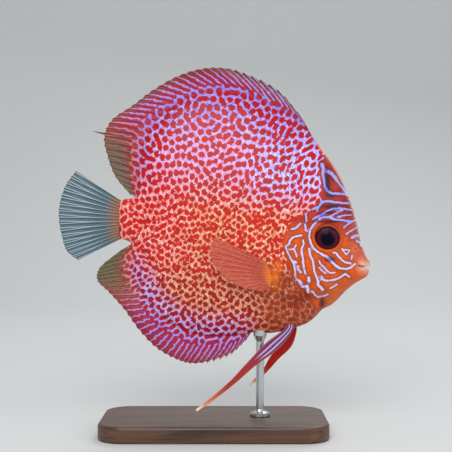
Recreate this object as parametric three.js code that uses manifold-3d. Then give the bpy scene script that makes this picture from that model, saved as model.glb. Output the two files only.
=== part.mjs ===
// A life-size discus fish, held by a plain display stand.
// Millimetres, +Z up, the head towards +X. The origin is under the middle of the fish, on the floor.
import * as THREE from "three";
import { mergeVertices } from "three/addons/utils/BufferGeometryUtils.js";
import Module from "manifold-3d";

const wasm = await Module();
wasm.setup();

// Driving sizes. The fish's own points are [along, up] from the middle of its disc.
const BASE = { length: 112, width: 62, thick: 8, corner: 12, edge: 1.2 };
const FISH_ABOVE_BASE = 95.5;
const FISH_FORWARD = 3;
const MIDDLE_Z = BASE.thick + FISH_ABOVE_BASE;
const GAP = 0.3;
const CUT = 0.35;

// The side outline of the fleshy body, from the upper lip over the back, round the tail root and the belly to the chin.
const OUTLINE = [
  [74.8, -18.5], [73, -16], [71.25, -11.5], [69.75, -5.5], [68.25, 1.5], [66.25, 8.5],
  [63.5, 16], [60, 24], [55.5, 31.75], [50, 39], [45, 45.5], [38.5, 52], [30, 57.5],
  [20, 62], [10, 65], [0, 66.25], [-10, 65.25], [-20, 61.75], [-28.5, 56], [-35, 48],
  [-39, 37.5], [-40.75, 26.5], [-41.25, 17.5], [-43, 13.75], [-47, 13.25], [-49.75, 12],
  [-50.5, 2.5], [-49.75, -6.5], [-46.5, -7.75], [-44.25, -9.25], [-44.25, -15.5],
  [-43, -23], [-40.25, -31], [-36, -38.5], [-30, -45.5], [-22, -51], [-12.5, -54.5],
  [-2.5, -55.75], [7.5, -55.25], [16, -53.75], [25, -54], [32.5, -52.75], [38.5, -51],
  [44, -48.75], [48, -45.5], [51, -42.25], [55, -40.25], [58.5, -37.5], [62.5, -33.25],
  [67, -29.5], [71, -27.1], [73.5, -25.5], [74.5, -23],
];
const BODY_POLE = [2, 2];
const BODY_AROUND = 88;
const BODY_RINGS = [0.14, 0.3, 0.45, 0.59, 0.71, 0.81, 0.89, 0.95, 0.985, 1];

// Sections along the body: [along, half width, crown height, keel height].
const SECTIONS = [
  [-52, 2.4, 17, -12], [-44, 3.6, 30, -26], [-38, 5.2, 46, -40], [-28, 7.8, 60, -50],
  [-12, 10.4, 68, -57], [8, 12.2, 68.5, -58.5], [26, 12.9, 62.5, -57.5],
  [40, 12.6, 54, -53.5], [52, 11, 39.5, -46], [62, 8.6, 22.5, -37], [70, 5.6, -3, -31],
  [75, 3.6, -14, -28],
];
const RIM_HALF = 1.5;
const WIDEST_DROP = 0.05;
const LENS_POWER = { body: 0.86, head: 0.62, from: 30, to: 55 };

// Fins: matching root and tip points, the number of spines and of soft rays.
const DORSAL = {
  roots: [[45.5, 45], [38, 52], [28, 58], [17.5, 62.5], [6, 65.5], [-6.5, 65.5], [-18, 62],
    [-27, 57], [-34, 49], [-38.5, 39], [-40.5, 28.5], [-41.25, 19], [-42.25, 14.25]],
  tips: [[39, 56], [29, 67.5], [15, 74.75], [2.5, 78.25], [-10, 77.75], [-22, 74],
    [-34, 67.25], [-44, 59.5], [-54, 52.25], [-57.75, 44], [-56.25, 34.5], [-52.5, 24.5],
    [-45, 15.25]],
};
const ANAL = {
  roots: [[15.5, -53.5], [10, -54.75], [3, -55.5], [-6, -55.5], [-14, -54], [-22, -51],
    [-29, -46.5], [-35, -40], [-39.5, -32], [-42.5, -23.5], [-44, -15.5], [-44.5, -9.5]],
  tips: [[13, -57.5], [5.5, -64.5], [-4.5, -68], [-14.5, -69], [-22, -66.75],
    [-31.5, -61.5], [-40.5, -52.5], [-48, -42], [-55.5, -33.5], [-61.25, -27.25],
    [-60.5, -22], [-49.5, -12.5]],
};
const CAUDAL = {
  roots: [[-49.5, 12.25], [-50.25, 9], [-50.5, 6], [-50.5, 2.5], [-50.5, -1], [-50.25, -4],
    [-49.5, -7]],
  tips: [[-72, 27], [-77, 20], [-80, 11], [-80.5, 3], [-79, -5.5], [-76.5, -13],
    [-71, -17.5]],
};
const PECTORAL = {
  foot: [25, -24.5],
  splay: 5.5,
  roots: [[26, -19.75], [25.5, -21.75], [25, -24], [24.5, -26.5], [24, -28.5],
    [23.75, -30.5]],
  tips: [[-3, -6], [-4.75, -12.5], [-2, -20.5], [4, -26.5], [13, -30.75], [21, -32]],
};
const PELVIC_NEAR = {
  front: [[37, -49], [36.4, -52], [29.8, -61.2], [18.3, -70.1], [8.5, -78.3], [-2.2, -85.5],
    [-11.5, -91.6]],
  back: [[33.5, -47.5], [32.6, -50.8], [22.9, -58.5], [12.6, -69], [5, -77], [-3.4, -84.2],
    [-12, -90.6]],
};
const PELVIC_FAR = {
  front: [[38.5, -49], [38.6, -53], [36.2, -61], [29.5, -68], [23.3, -75.1], [15.6, -81.8]],
  back: [[35, -48], [35, -51.5], [30.5, -60], [25.2, -67], [21, -74.6], [14.9, -80.9]],
};
const PELVIC_SPLAY = { root: 2, spread: 8 };

// Head: where the cuts, the eye, the mouth and the gill cover lie.
const HEAD_CUT = [
  [49.5, 46.5], [41.5, 30], [36.5, 12.5], [33, -3.5], [32.5, -10], [34.5, -16],
  [37, -21.5], [40, -29], [44.5, -35.5], [49.5, -40.5], [52.5, -46],
];
const TAIL_CUT = [[-42.6, 24], [-43, 2], [-44.6, -14]];
const GILL_COVER = [
  [41.5, 1.5], [36, -2], [32.5, -9], [34, -14.5], [36.75, -21], [39.5, -27.5],
  [43.5, -33], [48.5, -37], [51, -33.5], [48, -26.5], [45.5, -18.5], [44.5, -10],
  [44.5, -2.5],
];
const GILL_INNER = 0.45;
const GILL_OUTER = 1.25;
const EYE = { at: [52.5, -5.8], radius: 6.5, bulge: 3.2, sunk: 1.2, rim: 0.75 };
const MOUTH = { corner: [68.6, -20.2], front: [76, -21.1], openHalf: 0.4 };
const JAW_CUT = [[68.9, -20.4], [67, -26], [63.5, -34]];
const LIPS = { upper: [70.2, 73.4, -19.4, 1.25], lower: [69.6, 72.7, -23.2, 1.5], half: 3.2 };
const NOSTRIL = { at: [67.3, -12], radius: 0.7, depth: 1.2 };

// Stand: one turned rod under the belly, between the pelvic fins and the anal fin.
const ROD = { along: 20, tall: 44, radius: 2, foot: 5, footTall: 2, cup: 3.4, cupTall: 6.5 };
const ACROSS = 30;

const at = ([along, up]) => new THREE.Vector3(along + FISH_FORWARD, 0, up + MIDDLE_Z);
const mix = THREE.MathUtils.lerp;
const smooth = THREE.MathUtils.smoothstep;

// A smooth value from rows of [place, value, value ...], by the row's column.
function along(rows, place, column) {
  const last = rows.length - 1;
  const x = THREE.MathUtils.clamp(place, rows[0][0], rows[last][0]);
  const i = Math.min(rows.findIndex((row, k) => k === last || x <= rows[k + 1][0]), last - 1);
  const slope = (k) => {
    const a = rows[Math.max(k - 1, 0)];
    const b = rows[Math.min(k + 1, last)];
    return (b[column] - a[column]) / (b[0] - a[0]);
  };
  const span = rows[i + 1][0] - rows[i][0];
  const t = (x - rows[i][0]) / span;
  const start = (2 * t ** 3 - 3 * t ** 2 + 1) * rows[i][column];
  const end = (3 * t ** 2 - 2 * t ** 3) * rows[i + 1][column];
  const leave = (t ** 3 - 2 * t ** 2 + t) * span * slope(i);
  const arrive = (t ** 3 - t ** 2) * span * slope(i + 1);
  return start + end + leave + arrive;
}

// Half the body's thickness at a point of its side view.
function halfThickness(x, z) {
  const crown = along(SECTIONS, x, 2);
  const keel = along(SECTIONS, x, 3);
  const widest = (crown + keel) / 2 - WIDEST_DROP * (crown - keel);
  const reach = z > widest ? crown - widest : widest - keel;
  const share = Math.min(Math.abs(z - widest) / reach, 1);
  const turn = smooth(x, LENS_POWER.from, LENS_POWER.to);
  const power = mix(LENS_POWER.body, LENS_POWER.head, turn);
  return along(SECTIONS, x, 1) * (1 - share * share) ** power;
}

// A solid from points and triangles, turned so that its faces point out.
function solidFrom(points, triangles) {
  const positions = new Float32Array(points.flatMap((p) => [p.x, p.y, p.z]));
  const build = (faces) =>
    new wasm.Manifold(
      new wasm.Mesh({ numProp: 3, vertProperties: positions, triVerts: new Uint32Array(faces) }),
    );
  const made = build(triangles.flat());
  return made.volume() > 0 ? made : build(triangles.flatMap(([a, b, c]) => [a, c, b]));
}

// A solid from a three.js geometry.
function solidOf(geometry) {
  const bare = new THREE.BufferGeometry();
  bare.setAttribute("position", geometry.getAttribute("position"));
  bare.setIndex(geometry.getIndex());
  const merged = mergeVertices(bare, 1e-4);
  const position = merged.getAttribute("position");
  const points = [];
  for (let i = 0; i < position.count; i++) {
    points.push(new THREE.Vector3().fromBufferAttribute(position, i));
  }
  const index = merged.getIndex().array;
  const triangles = [];
  for (let i = 0; i < index.length; i += 3) {
    const face = [index[i], index[i + 1], index[i + 2]];
    if (new Set(face).size === 3) triangles.push(face);
  }
  return solidFrom(points, triangles);
}

// The largest closed piece of a solid.
function largest(solid) {
  const pieces = solid.decompose();
  return pieces.reduce((best, piece) => (piece.volume() > best.volume() ? piece : best));
}

// The body grown by an offset: rings run from a pole on each side out to the rim of its outline.
function bodySolid(grow) {
  const rim = new THREE.CatmullRomCurve3(
    OUTLINE.map(([x, z]) => new THREE.Vector3(x, 0, z)), true, "centripetal",
  ).getSpacedPoints(BODY_AROUND).slice(0, -1);
  const outward = rim.map((_, i) => {
    const before = rim[(i + BODY_AROUND - 1) % BODY_AROUND];
    const after = rim[(i + 1) % BODY_AROUND];
    const run = after.clone().sub(before).normalize();
    return new THREE.Vector3(run.z, 0, -run.x);
  });
  const [poleX, poleZ] = BODY_POLE;
  const points = [];
  const place = (i, share, side) => {
    const x = mix(poleX, rim[i].x, share);
    const z = mix(poleZ, rim[i].z, share);
    const cap = Math.sqrt(1 - share ** 24);
    const edge = Math.sqrt(1 - share ** 6);
    const half = (halfThickness(x, z) + grow) * cap + RIM_HALF * edge;
    const push = outward[i].clone().multiplyScalar(grow * share ** 8);
    const point = at([x, z]).add(push);
    point.y = side * half;
    return points.push(point) - 1;
  };
  const rings = BODY_RINGS.slice(0, -1);
  const sides = [1, -1].map((side) => ({
    side,
    pole: place(0, 0, side),
    rings: rings.map((share) => rim.map((_, i) => place(i, share, side))),
  }));
  const edgeRing = rim.map((_, i) => place(i, 1, 1));
  const triangles = [];
  sides.forEach(({ side, pole, rings: own }) => {
    const add = (a, b, c) => triangles.push(side > 0 ? [a, b, c] : [a, c, b]);
    const all = [...own, edgeRing];
    rim.forEach((_, i) => {
      const next = (i + 1) % BODY_AROUND;
      add(pole, all[0][i], all[0][next]);
      for (let r = 0; r + 1 < all.length; r++) {
        add(all[r][i], all[r + 1][i], all[r + 1][next]);
        add(all[r][i], all[r + 1][next], all[r][next]);
      }
    });
  });
  return solidFrom(points, triangles);
}

// A prism through the fish, from a side outline, between two heights across it.
function prism(outline, from, to) {
  const shape = new THREE.Shape(outline.map(([x, z]) => new THREE.Vector2(x, z)));
  const geometry = new THREE.ExtrudeGeometry(shape, { depth: to - from, bevelEnabled: false });
  geometry.rotateX(Math.PI / 2);
  geometry.translate(FISH_FORWARD, to, MIDDLE_Z);
  return solidOf(geometry);
}

// A thin upright blade along a line of the side view, to part the body.
function blade(line, width) {
  const curve = splineOf(line);
  const steps = 3 * line.length;
  const sideAt = (sign) =>
    Array.from({ length: steps + 1 }, (_, i) => {
      const tangent = curve.getTangent(i / steps);
      const point = curve.getPoint(i / steps);
      return [point.x - sign * tangent.y * width / 2, point.y + sign * tangent.x * width / 2];
    });
  return prism([...sideAt(1), ...sideAt(-1).reverse()], -ACROSS, ACROSS);
}

// An ellipsoid at a place of the side view.
function ellipsoid([x, z], y, [radiusX, radiusY, radiusZ], detail) {
  const geometry = new THREE.SphereGeometry(1, detail, detail / 2);
  geometry.rotateX(Math.PI / 2);
  geometry.scale(radiusX, radiusY, radiusZ);
  geometry.translate(x + FISH_FORWARD, y, z + MIDDLE_Z);
  return solidOf(geometry);
}

function eyeSolid(side, grow) {
  const [x, z] = EYE.at;
  const y = side * (halfThickness(x, z) + RIM_HALF - EYE.sunk);
  const radius = EYE.radius + grow;
  return ellipsoid(EYE.at, y, [radius, EYE.bulge + grow, radius], 20);
}

// The raised ring of skin round the eye.
function eyeRim(side) {
  const [x, z] = EYE.at;
  const geometry = new THREE.TorusGeometry(EYE.radius + EYE.rim * 0.4, EYE.rim, 6, 22);
  geometry.rotateX(Math.PI / 2);
  const y = side * (halfThickness(x, z) + RIM_HALF - 0.1);
  geometry.translate(x + FISH_FORWARD, y, z + MIDDLE_Z);
  return solidOf(geometry);
}

// A lip: a round bead that bends round the front of the snout.
function lip([back, front, height, radius]) {
  const curve = new THREE.CatmullRomCurve3([
    new THREE.Vector3(back - 1.5, LIPS.half, 0), new THREE.Vector3(back + 1, LIPS.half, 0),
    new THREE.Vector3(front, 0, 0), new THREE.Vector3(back + 1, -LIPS.half, 0),
    new THREE.Vector3(back - 1.5, -LIPS.half, 0),
  ]);
  const section = new THREE.Shape();
  section.absarc(0, 0, radius, 0, Math.PI * 2);
  const geometry = new THREE.ExtrudeGeometry(section, {
    extrudePath: curve, steps: 10, curveSegments: 5, bevelEnabled: false,
  });
  geometry.translate(FISH_FORWARD, 0, MIDDLE_Z + height);
  return solidOf(geometry);
}

function mouthGap() {
  const [cornerX, cornerZ] = MOUTH.corner;
  const [frontX, frontZ] = MOUTH.front;
  const half = MOUTH.openHalf;
  return prism([
    [cornerX, cornerZ - half / 2], [frontX, frontZ - half * 1.8],
    [frontX, frontZ + half * 1.8], [cornerX, cornerZ + half / 2],
  ], -ACROSS, ACROSS);
}

function nostril(side) {
  const [x, z] = NOSTRIL.at;
  const y = side * (halfThickness(x, z) + RIM_HALF);
  return ellipsoid(NOSTRIL.at, y, [NOSTRIL.radius, NOSTRIL.depth, NOSTRIL.radius], 10);
}

const splineOf = (list) =>
  new THREE.SplineCurve(list.map(([x, z]) => new THREE.Vector2(x, z)));

// Where the points of a fin lie that fans out from matching roots to tips.
function fan({ roots, tips, bow, inset }) {
  const curveOf = (list) => new THREE.CatmullRomCurve3(
    list.map(([x, z]) => new THREE.Vector3(x, 0, z)), false, "centripetal",
  );
  const root = curveOf(roots);
  const tip = curveOf(tips);
  return (u, t, poke) => {
    const start = root.getPoint(u);
    const end = tip.getPoint(u);
    const run = end.clone().sub(start);
    const heading = run.clone().normalize();
    const across = new THREE.Vector3(-heading.z, 0, heading.x);
    start.addScaledVector(heading, -inset);
    end.addScaledVector(heading, poke);
    const middle = start.clone().lerp(end, 0.5).addScaledVector(across, bow * run.length());
    const spot = new THREE.QuadraticBezierCurve3(start, middle, end).getPoint(t);
    return [spot.x, spot.z];
  };
}

// Where the points of a fin lie that is a long ribbon between a front and a back edge.
function ribbon({ front, back }) {
  const frontEdge = splineOf(front);
  const backEdge = splineOf(back);
  return (u, t) => frontEdge.getPoint(t).lerp(backEdge.getPoint(t), u).toArray();
}

// A fin: a thin membrane whose rays are ridges raised in its two faces.
// Each ray has a crest between two feet; the membrane runs from foot to foot.
function finSolid({ spotAt, rays, rows, from = 0, to = 1, foot, poke, rayHalf, webHalf, sway }) {
  const pitch = (to - from) / (rays - 1);
  const columns = [];
  for (let ray = 0; ray < rays; ray++) {
    const u = from + ray * pitch;
    const aside = pitch * foot;
    if (ray > 0) columns.push({ u: u - aside, poke: 0, crest: false });
    columns.push({ u, poke: poke(ray), crest: true });
    if (ray < rays - 1) columns.push({ u: u + aside, poke: 0, crest: false });
  }
  const points = [];
  const index = columns.map((column) =>
    Array.from({ length: rows + 1 }, (_, row) => {
      const t = row / rows;
      const [rootHalf, tipHalf] = column.crest ? rayHalf : webHalf;
      const half = mix(rootHalf, tipHalf, t);
      const centre = sway(column.u, t);
      return [1, -1].map((side) => {
        const point = at(spotAt(column.u, t, column.poke));
        point.y = centre + side * half;
        return points.push(point) - 1;
      });
    }),
  );
  const triangles = [];
  const quad = (a, b, c, d) => triangles.push([a, b, c], [a, c, d]);
  const last = columns.length - 1;
  for (let c = 0; c < last; c++) {
    for (let r = 0; r < rows; r++) {
      const corners = (face) =>
        [index[c][r], index[c + 1][r], index[c + 1][r + 1], index[c][r + 1]].map((p) => p[face]);
      const [a, b, d, e] = corners(0);
      quad(a, b, d, e);
      const [f, g, h, k] = corners(1);
      triangles.push([f, h, g], [f, k, h]);
    }
    quad(index[c + 1][0][0], index[c][0][0], index[c][0][1], index[c + 1][0][1]);
    quad(index[c][rows][0], index[c + 1][rows][0], index[c + 1][rows][1], index[c][rows][1]);
  }
  for (let r = 0; r < rows; r++) {
    quad(index[0][r][0], index[0][r + 1][0], index[0][r + 1][1], index[0][r][1]);
    quad(index[last][r + 1][0], index[last][r][0], index[last][r][1], index[last][r + 1][1]);
  }
  return solidFrom(points, triangles);
}

const bodyClear = bodySolid(GAP + 0.15);
const rooted = (fin) => largest(finSolid(fin).subtract(bodyClear));

// The dorsal and anal fins, in lengths round the disc.
const MEDIAN_FIN = { foot: 0.24, rayHalf: [0.62, 0.27], webHalf: [0.36, 0.25], rows: 4 };
const ripple = (height, waves) => (u, t) => height * t * t * Math.sin(u * Math.PI * waves);

function dorsalLength(from, to, rays, poke) {
  const spotAt = fan({ ...DORSAL, bow: -0.06, inset: 1.6 });
  return rooted({ ...MEDIAN_FIN, spotAt, from, to, rays, poke, sway: ripple(1.1, 5) });
}

function analLength(from, to, rays, poke) {
  const spotAt = fan({ ...ANAL, bow: 0.05, inset: 1.6 });
  return rooted({ ...MEDIAN_FIN, spotAt, from, to, rays, poke, sway: ripple(1, 4.4) });
}

function caudalFin() {
  return rooted({
    spotAt: fan({ ...CAUDAL, bow: 0, inset: 1.8 }), rays: 14, rows: 4, foot: 0.25,
    rayHalf: [0.62, 0.26], webHalf: [0.38, 0.25], poke: () => 0.25,
    sway: (u, t) => 1.6 * t * t * Math.sin(u * 4),
  });
}

function pectoralFin(side) {
  const rootY = halfThickness(...PECTORAL.foot) + RIM_HALF - 0.4;
  return rooted({
    spotAt: fan({ ...PECTORAL, bow: -0.03, inset: 1.2 }), rays: 10, rows: 4, foot: 0.26,
    rayHalf: [0.6, 0.26], webHalf: [0.4, 0.25], poke: () => 0.3,
    sway: (u, t) => side * (rootY + PECTORAL.splay * t),
  });
}

function pelvicFin(side, edges) {
  return rooted({
    spotAt: ribbon(edges), rays: 5, rows: 10, foot: 0.26, rayHalf: [0.7, 0.3],
    webHalf: [0.4, 0.26], poke: () => 0,
    sway: (u, t) => side * (PELVIC_SPLAY.root + PELVIC_SPLAY.spread * t + (1 - t) * (1 - u)),
  });
}

// The stand: a flat base with a rounded edge, and a rod turned to a foot and a cup.
function standBase() {
  const { length, width, thick, corner, edge } = BASE;
  const halfL = length / 2 - edge;
  const halfW = width / 2 - edge;
  const shape = new THREE.Shape();
  shape.absarc(halfL - corner, halfW - corner, corner, 0, Math.PI / 2);
  shape.absarc(corner - halfL, halfW - corner, corner, Math.PI / 2, Math.PI);
  shape.absarc(corner - halfL, corner - halfW, corner, Math.PI, Math.PI * 1.5);
  shape.absarc(halfL - corner, corner - halfW, corner, Math.PI * 1.5, Math.PI * 2);
  const geometry = new THREE.ExtrudeGeometry(shape, {
    depth: thick - 2 * edge, bevelThickness: edge, bevelSize: edge, bevelSegments: 2,
    curveSegments: 4,
  });
  geometry.translate(0, 0, edge);
  return solidOf(geometry);
}

function standRod() {
  const { tall, radius, foot, footTall, cup, cupTall } = ROD;
  const cupBase = tall - cupTall;
  const profile = [
    [0, GAP], [foot, GAP], [foot, footTall * 0.7], [foot - 0.6, footTall],
    [radius + 0.5, footTall + 0.6], [radius, footTall + 1.6], [radius, cupBase],
    [cup, cupBase + cupTall * 0.43], [cup, tall], [0, tall],
  ].map(([r, z]) => new THREE.Vector2(r, z));
  const geometry = new THREE.LatheGeometry(profile, 16);
  geometry.rotateX(Math.PI / 2);
  geometry.translate(ROD.along + FISH_FORWARD, 0, BASE.thick);
  return largest(solidOf(geometry).subtract(bodyClear));
}

// Colours read from the fish, as a MeshStandardMaterial for each kind of surface.
const surface = (color, roughness, extra = {}) =>
  new THREE.MeshStandardMaterial({ color, roughness, metalness: 0, ...extra });
const LOOKS = {
  skin: surface("#d9513f", 0.38),
  face: surface("#dd6a2c", 0.36),
  fin: surface("#b4404a", 0.45),
  tail: surface("#6f959c", 0.4, { transparent: true, opacity: 0.8 }),
  eye: surface("#3a0d16", 0.08),
  wood: surface("#4a2e1f", 0.5),
  steel: surface("#b9bcc0", 0.3, { metalness: 1 }),
};

const fish = new THREE.Group();

function add(name, solid, look) {
  const mesh = solid.getMesh();
  const geometry = new THREE.BufferGeometry();
  geometry.setAttribute("position", new THREE.BufferAttribute(mesh.vertProperties, 3));
  geometry.setIndex(new THREE.BufferAttribute(mesh.triVerts, 1));
  geometry.computeVertexNormals();
  const made = new THREE.Mesh(geometry, LOOKS[look]);
  made.name = name;
  fish.add(made);
}

// The flesh, parted into head, jaw, torso and tail root, with the mouth, eyes and nostrils.
const whole = bodySolid(0);
const lipped = whole.add(lip(LIPS.upper)).add(lip(LIPS.lower)).add(eyeRim(1)).add(eyeRim(-1));
const opened = lipped
  .subtract(mouthGap())
  .subtract(blade(JAW_CUT, CUT))
  .subtract(blade(HEAD_CUT, CUT))
  .subtract(blade(TAIL_CUT, CUT))
  .subtract(eyeSolid(1, GAP)).subtract(eyeSolid(-1, GAP))
  .subtract(nostril(1)).subtract(nostril(-1));
const lengthwise = (solid) => {
  const box = solid.boundingBox();
  return (box.min[0] + box.max[0]) / 2;
};
const flesh = opened.decompose()
  .sort((a, b) => b.volume() - a.volume())
  .slice(0, 4)
  .sort((a, b) => lengthwise(a) - lengthwise(b));
["tail_root", "torso", "head", "lower_jaw"].forEach((name, i) => {
  add(name, flesh[i], i > 1 ? "face" : "skin");
});

const gillShell = bodySolid(GILL_OUTER).subtract(bodySolid(GILL_INNER));
const gillOutline = splineOf([...GILL_COVER, GILL_COVER[0]])
  .getPoints(36).slice(0, -1).map((p) => [p.x, p.y]);
const sides = [["right", -1], ["left", 1]];
sides.forEach(([word, side]) => {
  const half = prism(gillOutline, side > 0 ? 2 : -ACROSS, side > 0 ? ACROSS : -2);
  add("gill_cover_" + word, largest(gillShell.intersect(half)), "face");
  add("eye_" + word, eyeSolid(side, 0), "eye");
  add("pectoral_fin_" + word, pectoralFin(side), "fin");
});
add("pelvic_fin_right", pelvicFin(-1, PELVIC_NEAR), "fin");
add("pelvic_fin_left", pelvicFin(1, PELVIC_FAR), "fin");

const spinePoke = (tall) => () => tall;
add("dorsal_fin_spines", dorsalLength(0, 0.33, 9, spinePoke(1.6)), "fin");
add("dorsal_fin_top", dorsalLength(0.3385, 0.66, 12, spinePoke(0.5)), "fin");
add("dorsal_fin_rear", dorsalLength(0.6685, 1, 14, (ray) => (ray === 4 ? 6.5 : 0.4)), "fin");
add("anal_fin_spines", analLength(0, 0.3, 8, spinePoke(1.4)), "fin");
add("anal_fin_middle", analLength(0.3085, 0.64, 12, spinePoke(0.4)), "fin");
add("anal_fin_rear", analLength(0.6485, 1, 13, spinePoke(0.4)), "fin");
add("caudal_fin", caudalFin(), "tail");
add("stand_base", standBase(), "wood");
add("stand_rod", standRod(), "steel");

export default fish;
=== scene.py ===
"""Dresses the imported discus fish: skin, scales, fins, eyes and stand, in a plain studio."""

import logging
import math
from dataclasses import dataclass, field
from enum import Enum

import bpy
import numpy as np
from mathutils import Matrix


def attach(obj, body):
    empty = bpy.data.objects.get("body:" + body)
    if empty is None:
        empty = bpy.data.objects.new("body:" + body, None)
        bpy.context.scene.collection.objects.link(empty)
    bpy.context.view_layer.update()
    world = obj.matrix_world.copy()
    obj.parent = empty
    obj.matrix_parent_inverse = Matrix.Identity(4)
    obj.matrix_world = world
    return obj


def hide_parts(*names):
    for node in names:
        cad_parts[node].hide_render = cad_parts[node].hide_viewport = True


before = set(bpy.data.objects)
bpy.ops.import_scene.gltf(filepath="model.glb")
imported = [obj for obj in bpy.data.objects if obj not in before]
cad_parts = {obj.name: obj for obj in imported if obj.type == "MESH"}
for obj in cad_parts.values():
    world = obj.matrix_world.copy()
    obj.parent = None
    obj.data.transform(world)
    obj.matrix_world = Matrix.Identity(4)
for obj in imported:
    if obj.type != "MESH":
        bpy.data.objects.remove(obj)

LOG = logging.getLogger("discus")
MM = 0.001
FISH_FORWARD = 3.0
MIDDLE_Z = 103.5

# The side outline of the fleshy body, in millimetres from the middle of the disc: [forward, up].
OUTLINE = np.array([
    [74.8, -18.5], [73, -16], [71.25, -11.5], [69.75, -5.5], [68.25, 1.5], [66.25, 8.5],
    [63.5, 16], [60, 24], [55.5, 31.75], [50, 39], [45, 45.5], [38.5, 52], [30, 57.5],
    [20, 62], [10, 65], [0, 66.25], [-10, 65.25], [-20, 61.75], [-28.5, 56], [-35, 48],
    [-39, 37.5], [-40.75, 26.5], [-41.25, 17.5], [-43, 13.75], [-47, 13.25], [-49.75, 12],
    [-50.5, 2.5], [-49.75, -6.5], [-46.5, -7.75], [-44.25, -9.25], [-44.25, -15.5],
    [-43, -23], [-40.25, -31], [-36, -38.5], [-30, -45.5], [-22, -51], [-12.5, -54.5],
    [-2.5, -55.75], [7.5, -55.25], [16, -53.75], [25, -54], [32.5, -52.75], [38.5, -51],
    [44, -48.75], [48, -45.5], [51, -42.25], [55, -40.25], [58.5, -37.5], [62.5, -33.25],
    [67, -29.5], [71, -27.1], [73.5, -25.5], [74.5, -23],
])
POLE = np.array([2.0, 2.0])

# Sections along the body: [forward, half width, crown height, keel height].
SECTIONS = np.array([
    [-52, 2.4, 17, -12], [-44, 3.6, 30, -26], [-38, 5.2, 46, -40], [-28, 7.8, 60, -50],
    [-12, 10.4, 68, -57], [8, 12.2, 68.5, -58.5], [26, 12.9, 62.5, -57.5],
    [40, 12.6, 54, -53.5], [52, 11, 39.5, -46], [62, 8.6, 22.5, -37], [70, 5.6, -3, -31],
    [75, 3.6, -14, -28],
], float)
RIM_HALF = 1.5
WIDEST_DROP = 0.05
COAT_DEPTH = 0.18

# The head's landmarks.
EYE_AT = np.array([52.5, -5.8])
EYE_RADIUS = 6.5
NOSTRIL_AT = np.array([67.3, -12.0])
MOUTH_LINE = np.array([[68.6, -20.2], [71.5, -20.9], [75.2, -21.2]])


def pixels(*points: tuple[float, float]) -> np.ndarray:
    """Turns places read off the side view, in half-millimetre steps, into the fish's millimetres.

    Args:
        points: Steps from the view's left and top edges.

    Returns:
        One row of forward and up for each point.
    """
    steps = np.array(points, float)
    return np.stack([(steps[:, 0] - 220) / 2, (225 - steps[:, 1]) / 2], 1)


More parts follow.
